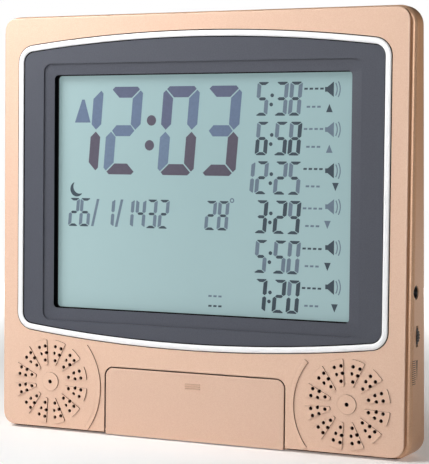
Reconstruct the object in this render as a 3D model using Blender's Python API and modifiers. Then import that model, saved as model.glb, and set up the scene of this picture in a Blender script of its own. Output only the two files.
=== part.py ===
"""Azan clock: a wide, slim plastic desk and wall clock with a segment display,
two speaker grilles and a drop-down door over its keys. Metres, +Z up. The front
face looks along -Y, and the origin is on the flat base."""
import math

import bmesh
import bpy
from mathutils import Matrix, Vector

MM = 0.001

# Case
CASE_WIDTH = 240 * MM
CASE_HEIGHT = 227 * MM
CASE_CORNER = 9.5 * MM
CASE_WALL = 2.2 * MM
DEPTH_AT_BASE = 26 * MM
DEPTH_AT_TOP = 14 * MM
REAR_EDGE_ROUND = 2 * MM
RIM_EDGE_ROUND = 1 * MM
BASE_POINT_DEPTH = 14 * MM
SIDE_LEDGE = 2.4 * MM
TOP_LEDGE = 1 * MM
FOOT_LEDGE = 1.4 * MM
FRONT_THICKNESS = 2.6 * MM
FRONT_EDGE_ROUND = 0.6 * MM
LIP_WALL = 1.8 * MM
LIP_REACH = 3.4 * MM
GAP = 0.3 * MM
OVERRUN = 1 * MM
WELD = 0.001 * MM
CORNER_STEPS = 5
ROUND_STEPS = 24
SMALL_ROUND_STEPS = 12

# Display surround
SURROUND_SIDE_MARGIN = 11.8 * MM
SURROUND_TOP_MARGIN = 10 * MM
SURROUND_WIDTH = CASE_WIDTH - 2 * SURROUND_SIDE_MARGIN
SURROUND_TOP = CASE_HEIGHT - SURROUND_TOP_MARGIN
SURROUND_BOTTOM = 48.7 * MM
SURROUND_CORNER = 9.5 * MM
SURROUND_SWEEP = 825 * MM
SWEEP_STEPS = 14
RING_FACE = 3.5 * MM
RING_PROUD = 0.8 * MM
RING_ROUND = 0.6 * MM
BEZEL_SET_BACK = 0.2 * MM
BEZEL_FLANGE = 2 * MM
BEZEL_BACK = 5.9 * MM
STEP_DEPTH = 0.9 * MM
SLOPE_DEPTH = 0.9 * MM
FLANGE_THICKNESS = 1.5 * MM
RECESS_SIDE_MARGIN = 15.8 * MM
RECESS_TOP_MARGIN = 16.2 * MM
RECESS_BOTTOM_MARGIN = 11.9 * MM
RECESS_WIDTH = SURROUND_WIDTH - 2 * RECESS_SIDE_MARGIN
RECESS_TOP = SURROUND_TOP - RECESS_TOP_MARGIN
RECESS_BOTTOM = SURROUND_BOTTOM + RECESS_BOTTOM_MARGIN
RECESS_CORNER = 4.5 * MM
SLOPE_SIDE = 5.8 * MM
SLOPE_TOP = 6.1 * MM
SLOPE_BOTTOM = 6.7 * MM
WINDOW_WIDTH = RECESS_WIDTH - 2 * SLOPE_SIDE
WINDOW_TOP = RECESS_TOP - SLOPE_TOP
WINDOW_BOTTOM = RECESS_BOTTOM + SLOPE_BOTTOM
WINDOW_CORNER = 2.4 * MM

# Display module
GLASS_MARGIN = 2.4 * MM
GLASS_THICKNESS = 2.8 * MM
GUIDE_THICKNESS = 1.6 * MM
GUIDE_INSET = 1.5 * MM
HOLDER_WALL = 2.9 * MM
HOLDER_DEPTH = 5.9 * MM
STRIP_HEIGHT = 2.2 * MM
STRIP_WIDTH = 110 * MM
BOARD_THICKNESS = 1.6 * MM
BOARD_WIDTH = 120 * MM
BOARD_BOTTOM = 47.2 * MM
BOARD_TOP = 104 * MM
CHIP_SIZE = 12 * MM
CHIP_THICKNESS = 1.6 * MM
CHIP_HEIGHT = 84 * MM
CRYSTAL_RADIUS = 1.5 * MM
CRYSTAL_LENGTH = 8 * MM
CRYSTAL_OFFSET = 16 * MM

# Key door
DOOR_EDGE = 67.7 * MM
DOOR_WIDTH = CASE_WIDTH - 2 * DOOR_EDGE
DOOR_TOP = 36.5 * MM
DOOR_BOTTOM = 0.5 * MM
DOOR_CORNER = 4.5 * MM
DOOR_THICKNESS = 2 * MM
DOOR_GAP = 0.6 * MM
DOOR_AXIS_DEPTH = 1.5 * MM
DOOR_AXIS_HEIGHT = 2.9 * MM
DOOR_PIN_RADIUS = 0.7 * MM
DOOR_PIN_REACH = 1.8 * MM
PIN_CLEARANCE = 0.1 * MM
PIN_STEPS = 12
CHEEK_WIDTH = 4.5 * MM
CHEEK_DEPTH = 4.2 * MM
CHEEK_TOP = 7.5 * MM
TONGUE_WIDTH = 5 * MM
TONGUE_HEIGHT = 2 * MM
TONGUE_CENTRE = 32.6 * MM
TONGUE_TIP = 5.9 * MM
PRESS_BAR_WIDTH = 9 * MM
PRESS_BAR_HEIGHT = 0.5 * MM
PRESS_BAR_PROUD = 0.2 * MM
PRESS_BAR_PITCH = 1.2 * MM
PRESS_BAR_CENTRE = 29.6 * MM
PRESS_BAR_COUNT = 3

# Key well
WELL_WALL = 1.5 * MM
WELL_FLOOR_DEPTH = 5 * MM
WELL_FLOOR = 1.2 * MM
WELL_BACK = 8.8 * MM
WELL_SILL_BOTTOM = 4.9 * MM
WELL_SILL = 1.2 * MM
CATCH_SLOT_WIDTH = 10 * MM
CATCH_SLOT_HEIGHT = 4.6 * MM
KEY_HEIGHT = 6 * MM
KEY_CORNER = 1.6 * MM
KEY_CORNER_STEPS = 2
KEY_ROUND = 0.5 * MM
KEY_FRONT = 2.9 * MM
KEY_FLANGE = 1 * MM
KEY_FLANGE_THICKNESS = 0.7 * MM
KEY_COLUMNS = 4
KEY_SIDE_SPACE = 2.15 * MM
KEY_WIDTH_SHARE = 0.583
KEY_PITCH = DOOR_WIDTH / KEY_COLUMNS - KEY_SIDE_SPACE
KEY_WIDTH = KEY_PITCH * KEY_WIDTH_SHARE
KEY_ROWS = ((25.5 * MM, ("key_mode", "key_set", "key_up", "key_down")),
            (13.5 * MM, ("key_alarm", "key_light", "key_city", "key_volume")))
KEY_TRAVEL = 0.7 * MM
MEMBRANE_THICKNESS = 0.6 * MM
KEY_BOARD_THICKNESS = 1.2 * MM
CATCH_WIDTH = 12 * MM
CATCH_HEIGHT = 5.6 * MM
CATCH_THICKNESS = 1.3 * MM

# Speakers
SPEAKER_EDGE = 33.1 * MM
SPEAKER_OFFSET = CASE_WIDTH / 2 - SPEAKER_EDGE
SPEAKER_HEIGHT = 26.6 * MM
HOLE_RADIUS = 0.95 * MM
CENTRE_HOLE_RADIUS = 1 * MM
HOLE_SIDES = 6
WEDGE_COUNT = 12
FIRST_WEDGE_ANGLE = math.radians(15)
HOLE_ROWS = ((12.1 * MM, 0.0), (16 * MM, math.radians(5.9)), (19.7 * MM, math.radians(5.5)))
WEDGE_INNER = 9.4 * MM
WEDGE_OUTER = 23.2 * MM
WEDGE_HALF_INNER = math.radians(5.2)
WEDGE_HALF_OUTER = math.radians(9.2)
WEDGE_PROUD = 0.65 * MM
BUTTON_RADIUS = 5 * MM
BUTTON_PROUD = 0.5 * MM
RIB_SHIFT = 5.8 * MM
RIB_DROP = 2 * MM
RIB_OFFSET = SPEAKER_OFFSET + RIB_SHIFT
RIB_HEIGHT = SPEAKER_HEIGHT - RIB_DROP
RIB_RADIUS = 36.1 * MM
RIB_WIDTH = 2.4 * MM
RIB_PROUD = 0.8 * MM
RIB_TOP_ANGLE = math.radians(39)
RIB_BOTTOM_ANGLE = math.radians(-38)
RIB_STEPS = 14
GASKET_THICKNESS = 1 * MM
SPEAKER_RADIUS = 21.5 * MM
FRAME_OPENING = 18.6 * MM
FRAME_FLANGE = 1.2 * MM
FRAME_NECK = 10 * MM
FRAME_THROAT = 7.5 * MM
FRAME_DEPTH = 6.6 * MM
FRAME_WALL = 1.2 * MM
MAGNET_RADIUS = 12 * MM
MAGNET_DEPTH = 4.5 * MM
POLE_RADIUS = 8 * MM
POLE_DEPTH = 1 * MM
CONE_CLEARANCE = 0.4 * MM
CONE_RIM = 0.8 * MM
CONE_DEPTH = 3.8 * MM
CONE_WALL = 0.6 * MM
CAP_RADIUS = 5.5 * MM
CAP_RISE = 1 * MM

# Inlet and volume wheel in the right side wall
INLET_HEIGHT = 84.2 * MM
INLET_DEPTH = 7.7 * MM
INLET_RADIUS = 3.3 * MM
INLET_BORE = 2.75 * MM
INLET_LENGTH = 9 * MM
INLET_BLOCK = 3.5 * MM
INLET_SET_BACK = 0.4 * MM
INLET_PIN_RADIUS = 1 * MM
INLET_PIN_LENGTH = 8 * MM
WHEEL_HEIGHT = 62 * MM
WHEEL_DEPTH = 10 * MM
WHEEL_RADIUS = 8 * MM
WHEEL_THICKNESS = 2.6 * MM
WHEEL_PROUD = 1.1 * MM
WHEEL_TEETH = 30
WHEEL_TOOTH = 0.3 * MM
WHEEL_SHAFT_RADIUS = 1.5 * MM
WHEEL_SHAFT_LENGTH = 2.6 * MM
SLOT_HEIGHT = 10.8 * MM
SLOT_WIDTH = 3.4 * MM
SLOT_RELIEF = 0.8 * MM
POT_RADIUS = 4.3 * MM
POT_LENGTH = 3.6 * MM
POT_BOARD_WIDTH = 17 * MM
POT_BOARD_HEIGHT = 19 * MM

# Battery bay
CELL_RADIUS = 5.25 * MM
CELL_LENGTH = 43.3 * MM
NUB_RADIUS = 1.8 * MM
NUB_LENGTH = 1 * MM
CELL_PITCH = 11.3 * MM
CELL_COUNT = 3
BAY_WIDTH = 54 * MM
BAY_BOTTOM = 3.9 * MM
BAY_DEPTH = 11.55 * MM
BAY_WALL = 1.6 * MM
CONTACT_THICKNESS = 0.5 * MM
CONTACT_SIZE = 8.4 * MM
SPRING_WIRE = 0.35 * MM
SPRING_RADIUS = 3 * MM
SPRING_TIP_RADIUS = 1.6 * MM
SPRING_TURNS = 4
SPRING_STEPS = 8
BAY_DOOR_THICKNESS = 1.5 * MM
BAY_DOOR_SEAT = 2.6 * MM
BAY_DOOR_GAP = 0.45 * MM
GRIP_WIDTH = 16 * MM
GRIP_HEIGHT = 1 * MM
GRIP_DEPTH = 0.6 * MM
GRIP_PITCH = 2.2 * MM
GRIP_COUNT = 3
BAY_PIN_RADIUS = 0.45 * MM
BAY_PIN_REACH = 1 * MM

# Fold-down feet
FOOT_EDGE = 40.5 * MM
FOOT_OFFSET = CASE_WIDTH / 2 - FOOT_EDGE
FOOT_WIDTH = 25 * MM
FOOT_TOP = 38 * MM
FOOT_THICKNESS = 2.4 * MM
FOOT_SEAT = 2.8 * MM
FOOT_AXIS_HEIGHT = 2.2 * MM
FOOT_BARREL_RADIUS = 1.6 * MM
FOOT_PIN_RADIUS = 0.7 * MM
FOOT_PIN_REACH = 1.2 * MM
PAN_WALL = 1.8 * MM
FINGER_WIDTH = 12 * MM
FINGER_HEIGHT = 4.5 * MM

# Hanging hole
HANGER_DROP = 22 * MM
HANGER_HEIGHT = CASE_HEIGHT - HANGER_DROP
HANGER_RADIUS = 4.5 * MM
HANGER_SLOT = 4.8 * MM
HANGER_REACH = 10 * MM

# Case screws
SCREW_EDGE = 9.5 * MM
SCREW_RISE = 9.2 * MM
SCREW_DOOR_SIDE = 7.5 * MM
SCREW_DOOR_RISE = 5.5 * MM
SCREW_PLACES = ((CASE_WIDTH / 2 - SCREW_EDGE, CASE_HEIGHT - SCREW_EDGE),
                (CASE_WIDTH / 2 - SCREW_EDGE, SCREW_RISE),
                (DOOR_WIDTH / 2 + SCREW_DOOR_SIDE, DOOR_TOP + SCREW_DOOR_RISE))
BOSS_RADIUS = 3.2 * MM
BOSS_TIP = 7 * MM
REAR_BOSS_RADIUS = 4.2 * MM
SCREW_SEAT = 9.5 * MM
SCREW_RADIUS = 1.25 * MM
SCREW_POINT = 3.8 * MM
SCREW_HEAD_RADIUS = 2.6 * MM
SCREW_HEAD_HEIGHT = 1.6 * MM
SCREW_DRIVE_WIDTH = 0.7 * MM
SCREW_DRIVE_DEPTH = 0.8 * MM

COLOURS = {
    "case_plastic": ((0.80, 0.57, 0.43), 0.38, 0.25),
    "rear_plastic": ((0.62, 0.44, 0.33), 0.45, 0.15),
    "silver_trim": ((0.86, 0.87, 0.89), 0.25, 0.6),
    "bezel_plastic": ((0.09, 0.09, 0.11), 0.45, 0.0),
    "display_glass": ((0.42, 0.60, 0.58), 0.15, 0.0),
    "white_plastic": ((0.82, 0.82, 0.80), 0.4, 0.0),
    "black_plastic": ((0.02, 0.02, 0.02), 0.4, 0.0),
    "dark_rubber": ((0.05, 0.05, 0.05), 0.8, 0.0),
    "circuit_board": ((0.05, 0.22, 0.10), 0.5, 0.0),
    "speaker_paper": ((0.06, 0.06, 0.06), 0.9, 0.0),
    "plated_steel": ((0.62, 0.62, 0.63), 0.3, 1.0),
    "cell_jacket": ((0.16, 0.20, 0.30), 0.35, 0.2),
    "foam": ((0.10, 0.10, 0.10), 0.95, 0.0),
}

part_set = None
guide_set = None
frame_empty = None
materials = {}


def rear_depth(height):
    """Depth of the outside of the rear wall below the front face at a height."""
    return DEPTH_AT_BASE + (DEPTH_AT_TOP - DEPTH_AT_BASE) * height / CASE_HEIGHT


def start_scene():
    """Empty the scene and make the two collections and the parent empty."""
    global part_set, guide_set, frame_empty
    for old in list(bpy.data.objects):
        bpy.data.objects.remove(old, do_unlink=True)
    part_set = bpy.data.collections.new("azan_clock")
    guide_set = bpy.data.collections.new("cutters")
    for group_set in (part_set, guide_set):
        bpy.context.scene.collection.children.link(group_set)
    frame_empty = bpy.data.objects.new("front_face", None)
    frame_empty.location = (0, -BASE_POINT_DEPTH, 0)
    part_set.objects.link(frame_empty)
    for name, (colour, roughness, metallic) in COLOURS.items():
        material = bpy.data.materials.new(name)
        material.use_nodes = True
        shader = material.node_tree.nodes["Principled BSDF"]
        shader.inputs["Base Color"].default_value = (*colour, 1)
        shader.inputs["Roughness"].default_value = roughness
        shader.inputs["Metallic"].default_value = metallic
        materials[name] = material


def new_object(name, mesh):
    """Object under the parent empty, in the set of cutters until it is finished."""
    obj = bpy.data.objects.new(name, mesh)
    guide_set.objects.link(obj)
    obj.parent = frame_empty
    obj.hide_render = True
    obj.display_type = "WIRE"
    return obj


def from_bmesh(name, shape):
    bmesh.ops.recalc_face_normals(shape, faces=shape.faces)
    mesh = bpy.data.meshes.new(name)
    shape.to_mesh(mesh)
    shape.free()
    return new_object(name, mesh)


def finish(obj, material, pivot=None, smooth=False):
    """Turn a shape into a part: material, collection, shading and joint origin."""
    obj.data.materials.clear()
    obj.data.materials.append(materials[material])
    guide_set.objects.unlink(obj)
    part_set.objects.link(obj)
    obj.hide_render = False
    obj.display_type = "TEXTURED"
    if pivot is not None:
        offset = obj.matrix_basis.inverted() @ Vector(pivot)
        obj.data.transform(Matrix.Translation(-offset))
        obj.location = pivot
    if smooth:
        obj.data.shade_smooth()
        obj.data.set_sharp_from_angle(angle=math.radians(35))
    return obj


def arc(centre, radius, start, end, steps):
    return [(centre[0] + radius * math.cos(start + (end - start) * i / steps),
             centre[1] + radius * math.sin(start + (end - start) * i / steps))
            for i in range(steps + 1)]


def circle(centre, radius, sides, turn=0.0):
    return [(centre[0] + radius * math.cos(turn + math.tau * i / sides),
             centre[1] + radius * math.sin(turn + math.tau * i / sides))
            for i in range(sides)]


def rectangle(left, right, bottom, top, corner=0.0, steps=CORNER_STEPS):
    """Outline in x and z, with rounded corners where a corner radius is given."""
    if corner == 0:
        return [(left, bottom), (right, bottom), (right, top), (left, top)]
    quarter = math.pi / 2
    return (arc((right - corner, bottom + corner), corner, -quarter, 0, steps)
            + arc((right - corner, top - corner), corner, 0, quarter, steps)
            + arc((left + corner, top - corner), corner, quarter, math.pi, steps)
            + arc((left + corner, bottom + corner), corner, math.pi, 3 * quarter, steps))


def door_outline(half_width, bottom, top, corner):
    """Upright door with rounded top corners and a square foot."""
    quarter = math.pi / 2
    return ([(-half_width, bottom), (half_width, bottom)]
            + arc((half_width - corner, top - corner), corner, 0, quarter, CORNER_STEPS)
            + arc((corner - half_width, top - corner), corner, quarter, math.pi, CORNER_STEPS))


def surround_outline(offset):
    """The display surround's outline, moved outwards: straight sides, and a top and
    bottom that sweep in a shallow arc into rounded corners."""
    half = SURROUND_WIDTH / 2 + offset
    corner = SURROUND_CORNER + offset
    sweep = SURROUND_SWEEP + offset
    rise = math.sqrt((sweep - corner) ** 2 - (half - corner) ** 2)
    lean = math.atan2(rise, half - corner)
    low_arc = SURROUND_BOTTOM + SURROUND_SWEEP
    high_arc = SURROUND_TOP - SURROUND_SWEEP
    points = arc((half - corner, high_arc + rise), corner, 0, lean, CORNER_STEPS)
    points += arc((0, high_arc), sweep, lean, math.pi - lean, SWEEP_STEPS)[1:-1]
    points += arc((corner - half, high_arc + rise), corner, math.pi - lean, math.pi, CORNER_STEPS)
    points += arc((corner - half, low_arc - rise), corner, math.pi, math.pi + lean, CORNER_STEPS)
    points += arc((0, low_arc), sweep, math.pi + lean, math.tau - lean, SWEEP_STEPS)[1:-1]
    points += arc((half - corner, low_arc - rise), corner, -lean, 0, CORNER_STEPS)
    return points


def case_outline(inset):
    return rectangle(inset - CASE_WIDTH / 2, CASE_WIDTH / 2 - inset, inset, CASE_HEIGHT - inset,
                     CASE_CORNER - inset)


def cover_outline():
    """Outline of the front plate, which leaves a ledge of the rim showing on each side."""
    return rectangle(SIDE_LEDGE - CASE_WIDTH / 2, CASE_WIDTH / 2 - SIDE_LEDGE, FOOT_LEDGE,
                     CASE_HEIGHT - TOP_LEDGE, CASE_CORNER - SIDE_LEDGE)


def block(name, outline, front, back, far_outline=None, rear_inset=None,
          front_round=0.0, back_round=0.0, front_inset=None):
    """Solid between two depths. The far end may have its own outline, and either end
    may lie parallel to the sloping rear wall, at an inset from it."""
    shape = bmesh.new()
    near = [shape.verts.new((x, front, z)) for x, z in outline]
    face = shape.faces.new(near)
    grown = bmesh.ops.extrude_face_region(shape, geom=[face])
    far = [item for item in grown["geom"] if isinstance(item, bmesh.types.BMVert)]
    if far_outline is not None:
        for vert in far:
            spot = min(range(len(outline)), key=lambda i: math.dist(outline[i], (vert.co.x, vert.co.z)))
            vert.co.x, vert.co.z = far_outline[spot]
    for vert in far:
        vert.co.y = back if rear_inset is None else rear_depth(vert.co.z) - rear_inset
    if front_inset is not None:
        for vert in near:
            vert.co.y = rear_depth(vert.co.z) - front_inset
    bmesh.ops.recalc_face_normals(shape, faces=shape.faces)
    near_set = set(near)
    far_set = set(far)
    for group, radius in ((near_set, front_round), (far_set, back_round)):
        if radius:
            edges = [e for e in shape.edges if e.verts[0] in group and e.verts[1] in group]
            bmesh.ops.bevel(shape, geom=edges, offset=radius, segments=2, profile=0.5,
                            affect="EDGES", material=-1)
    return from_bmesh(name, shape)


def ring_slab(name, outline, hole, front, back):
    """Flat frame: a filled two-dimensional curve with a hole, extruded and made a mesh."""
    curve = bpy.data.curves.new(name, "CURVE")
    curve.dimensions = "2D"
    curve.fill_mode = "BOTH"
    curve.extrude = (back - front) / 2
    for loop in (outline, hole):
        spline = curve.splines.new("POLY")
        spline.points.add(len(loop) - 1)
        for point, (x, z) in zip(spline.points, loop):
            point.co = (x, z, 0, 1)
        spline.use_cyclic_u = True
    return curve_to_mesh(name, curve, Matrix.Translation((0, (front + back) / 2, 0))
                         @ Matrix.Rotation(math.pi / 2, 4, "X"))


def curve_to_mesh(name, curve, place):
    """Mesh object from a curve, with its loose caps welded on."""
    source = bpy.data.objects.new(name + "_curve", curve)
    guide_set.objects.link(source)
    bpy.context.view_layer.update()
    evaluated = source.evaluated_get(bpy.context.evaluated_depsgraph_get())
    mesh = bpy.data.meshes.new_from_object(evaluated)
    shape = bmesh.new()
    shape.from_mesh(mesh)
    bmesh.ops.remove_doubles(shape, verts=shape.verts, dist=WELD)
    bmesh.ops.recalc_face_normals(shape, faces=shape.faces)
    shape.to_mesh(mesh)
    shape.free()
    mesh.materials.clear()
    bpy.data.objects.remove(source, do_unlink=True)
    obj = new_object(name, mesh)
    obj.matrix_basis = place
    return obj


def box(name, left, right, front, back, bottom, top):
    shape = bmesh.new()
    bmesh.ops.create_cube(shape, size=1)
    size = Matrix.Diagonal((right - left, back - front, top - bottom, 1))
    middle = Matrix.Translation(((left + right) / 2, (front + back) / 2, (bottom + top) / 2))
    bmesh.ops.transform(shape, matrix=middle @ size, verts=shape.verts)
    return from_bmesh(name, shape)


def rod(name, start, end, radius, sides=ROUND_STEPS):
    """Straight round bar between two points."""
    start = Vector(start)
    run = Vector(end) - start
    shape = bmesh.new()
    bmesh.ops.create_cone(shape, cap_ends=True, segments=sides, radius1=radius, radius2=radius,
                          depth=run.length)
    turn = run.to_track_quat("Z", "Y").to_matrix().to_4x4()
    bmesh.ops.transform(shape, matrix=Matrix.Translation(start + run / 2) @ turn, verts=shape.verts)
    return from_bmesh(name, shape)


def turned(name, profile, centre, closed=False, steps=ROUND_STEPS):
    """Turned solid about a line that runs back from the front face. The profile is in
    radius and depth, and its outer side runs from deep to shallow."""
    mesh = bpy.data.meshes.new(name)
    count = len(profile)
    edges = [(i, i + 1) for i in range(count - 1)]
    if closed:
        edges.append((count - 1, 0))
    mesh.from_pydata([(radius, 0, depth) for radius, depth in profile], edges, [])
    obj = new_object(name, mesh)
    obj.location = (centre[0], 0, centre[1])
    obj.rotation_euler = (-math.pi / 2, 0, 0)
    screw = obj.modifiers.new("turn", "SCREW")
    screw.steps = steps
    screw.render_steps = steps
    screw.use_merge_vertices = True
    screw.merge_threshold = WELD
    return obj


def gather(name, pieces):
    """Several shapes that don't touch, as one cutter or addition."""
    bpy.context.view_layer.update()
    shape = bmesh.new()
    for piece in pieces:
        piece.data.transform(piece.matrix_basis)
        shape.from_mesh(piece.data)
        bpy.data.objects.remove(piece, do_unlink=True)
    return from_bmesh(name, shape)


def boolean(target, other, operation):
    modifier = target.modifiers.new(other.name, "BOOLEAN")
    modifier.operation = operation
    modifier.object = other


def cut(target, *others):
    for other in others:
        boolean(target, other, "DIFFERENCE")


def join(target, *others):
    for other in others:
        boolean(target, other, "UNION")


def mirrored_places():
    """Screw places on both sides, as (x, z)."""
    return [(side * x, z) for x, z in SCREW_PLACES for side in (-1, 1)]


def speaker_centres():
    return {"left": (-SPEAKER_OFFSET, SPEAKER_HEIGHT), "right": (SPEAKER_OFFSET, SPEAKER_HEIGHT)}


def key_places():
    """Each key's name with the x and z of its middle."""
    first = -KEY_PITCH * (KEY_COLUMNS - 1) / 2
    return [(name, first + KEY_PITCH * column, height)
            for height, names in KEY_ROWS for column, name in enumerate(names)]


def grille_holes(side, centre):
    """Sound holes: five to a wedge, and one in the middle."""
    spots = [(centre, CENTRE_HOLE_RADIUS)]
    for wedge in range(WEDGE_COUNT):
        axis = FIRST_WEDGE_ANGLE + math.tau * wedge / WEDGE_COUNT
        for radius, spread in HOLE_ROWS:
            for turn in ((axis,) if spread == 0 else (axis - spread, axis + spread)):
                spots.append(((centre[0] + radius * math.cos(turn),
                               centre[1] + radius * math.sin(turn)), HOLE_RADIUS))
    return gather("grille_holes_" + side, [
        block("hole", circle(spot, radius, HOLE_SIDES), -OVERRUN, FRONT_THICKNESS + OVERRUN)
        for spot, radius in spots])


def grille_wedges(side, centre):
    """Low raised wedges that the holes pass through, and the raised middle disc."""
    pieces = []
    for wedge in range(WEDGE_COUNT):
        axis = FIRST_WEDGE_ANGLE + math.tau * wedge / WEDGE_COUNT
        outline = [(centre[0] + radius * math.cos(turn), centre[1] + radius * math.sin(turn))
                   for radius, turn in ((WEDGE_INNER, axis - WEDGE_HALF_INNER),
                                        (WEDGE_OUTER, axis - WEDGE_HALF_OUTER),
                                        (WEDGE_OUTER, axis + WEDGE_HALF_OUTER),
                                        (WEDGE_INNER, axis + WEDGE_HALF_INNER))]
        pieces.append(block("wedge", outline, -WEDGE_PROUD, FRONT_THICKNESS / 2))
    pieces.append(block("disc", circle(centre, BUTTON_RADIUS, ROUND_STEPS), -BUTTON_PROUD,
                        FRONT_THICKNESS / 2))
    return gather("grille_wedges_" + side, pieces)


def arc_rib(side, sign):
    """Raised rib that curves round the inner side of a speaker."""
    outer = arc((0, RIB_HEIGHT), RIB_RADIUS + RIB_WIDTH / 2, RIB_BOTTOM_ANGLE, RIB_TOP_ANGLE, RIB_STEPS)
    inner = arc((0, RIB_HEIGHT), RIB_RADIUS - RIB_WIDTH / 2, RIB_TOP_ANGLE, RIB_BOTTOM_ANGLE, RIB_STEPS)
    outline = [(sign * (RIB_OFFSET - x), z) for x, z in outer + inner]
    return block("rib_" + side, outline, -RIB_PROUD, FRONT_THICKNESS / 2)


def make_front_case():
    """Front shell: face plate, locating lip, key well, speaker grilles and screw bosses."""
    case = block("front_case", cover_outline(), 0, FRONT_THICKNESS,
                 front_round=FRONT_EDGE_ROUND)
    lip_inset = CASE_WALL + GAP
    lip = ring_slab("lip", case_outline(lip_inset), case_outline(lip_inset + LIP_WALL),
                    FRONT_THICKNESS - OVERRUN, FRONT_THICKNESS + LIP_REACH)
    opening_half = DOOR_WIDTH / 2 + DOOR_GAP
    well_half = opening_half + WELL_WALL
    well_top = DOOR_TOP + DOOR_GAP + WELL_WALL
    lip_gap = box("lip_gap", -well_half, well_half, FRONT_THICKNESS, SCREW_SEAT, -OVERRUN,
                  WELL_SILL_BOTTOM)
    inlet_gap = box("lip_inlet_gap", CASE_WIDTH / 2 - INLET_LENGTH, CASE_WIDTH / 2,
                    FRONT_THICKNESS + GAP, SCREW_SEAT,
                    INLET_HEIGHT - INLET_RADIUS - INLET_BLOCK / 2,
                    INLET_HEIGHT + INLET_RADIUS + INLET_BLOCK / 2)
    join(case, lip)
    cut(case, lip_gap, inlet_gap)
    display_gap = block("display_gap", surround_outline(GAP), -OVERRUN, FRONT_THICKNESS + OVERRUN)
    door_gap = block("door_gap", door_outline(opening_half, -OVERRUN, DOOR_TOP + DOOR_GAP,
                                              DOOR_CORNER + DOOR_GAP),
                     -OVERRUN, FRONT_THICKNESS + GAP)
    cut(case, display_gap)
    floor_bottom = CASE_WALL + GAP
    well = box("well_shell", -well_half, well_half, FRONT_THICKNESS - OVERRUN, WELL_BACK,
               floor_bottom, well_top)
    well_front = box("well_front", -opening_half, opening_half, FRONT_THICKNESS, WELL_FLOOR_DEPTH,
                     WELL_SILL_BOTTOM + WELL_SILL, DOOR_TOP + DOOR_GAP)
    well_foot = box("well_foot", -opening_half, opening_half, -OVERRUN, WELL_FLOOR_DEPTH,
                    -OVERRUN, WELL_SILL_BOTTOM)
    well_rear = box("well_rear", -opening_half, opening_half, WELL_FLOOR_DEPTH + WELL_FLOOR,
                    WELL_BACK + OVERRUN, -OVERRUN, DOOR_TOP + DOOR_GAP)
    cheeks = gather("cheeks", [
        box("cheek", *sorted((side * opening_half, side * (opening_half + CHEEK_WIDTH))),
            FRONT_THICKNESS - OVERRUN, CHEEK_DEPTH, floor_bottom, CHEEK_TOP) for side in (-1, 1)])
    join(case, well, cheeks)
    cut(case, door_gap, well_front, well_foot, well_rear)
    holes = [block("key_hole", rectangle(x - KEY_WIDTH / 2 - GAP, x + KEY_WIDTH / 2 + GAP,
                                         z - KEY_HEIGHT / 2 - GAP, z + KEY_HEIGHT / 2 + GAP,
                                         KEY_CORNER + GAP, KEY_CORNER_STEPS),
                   WELL_FLOOR_DEPTH - OVERRUN, WELL_FLOOR_DEPTH + WELL_FLOOR + OVERRUN)
             for _, x, z in key_places()]
    holes.append(box("catch_slot", -CATCH_SLOT_WIDTH / 2, CATCH_SLOT_WIDTH / 2,
                     WELL_FLOOR_DEPTH - OVERRUN, WELL_FLOOR_DEPTH + WELL_FLOOR + OVERRUN,
                     TONGUE_CENTRE - CATCH_SLOT_HEIGHT / 2, TONGUE_CENTRE + CATCH_SLOT_HEIGHT / 2))
    pin_reach = opening_half + DOOR_PIN_REACH + GAP
    pin_hole = rod("pin_hole", (-pin_reach, DOOR_AXIS_DEPTH, DOOR_AXIS_HEIGHT),
                   (pin_reach, DOOR_AXIS_DEPTH, DOOR_AXIS_HEIGHT),
                   DOOR_PIN_RADIUS + PIN_CLEARANCE, PIN_STEPS)
    cut(case, gather("key_holes", holes), pin_hole)
    bosses = gather("front_bosses", [
        rod("boss", (x, FRONT_THICKNESS / 2, z), (x, BOSS_TIP, z), BOSS_RADIUS, SMALL_ROUND_STEPS)
        for x, z in mirrored_places()])
    pilots = gather("front_pilots", [
        rod("pilot", (x, FRONT_THICKNESS, z), (x, BOSS_TIP + OVERRUN, z), SCREW_RADIUS + GAP,
            SMALL_ROUND_STEPS) for x, z in mirrored_places()])
    join(case, bosses)
    cut(case, pilots)
    for side, centre in speaker_centres().items():
        join(case, grille_wedges(side, centre), arc_rib(side, math.copysign(1, centre[0])))
        cut(case, grille_holes(side, centre))
    finish(case, "case_plastic")


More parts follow.
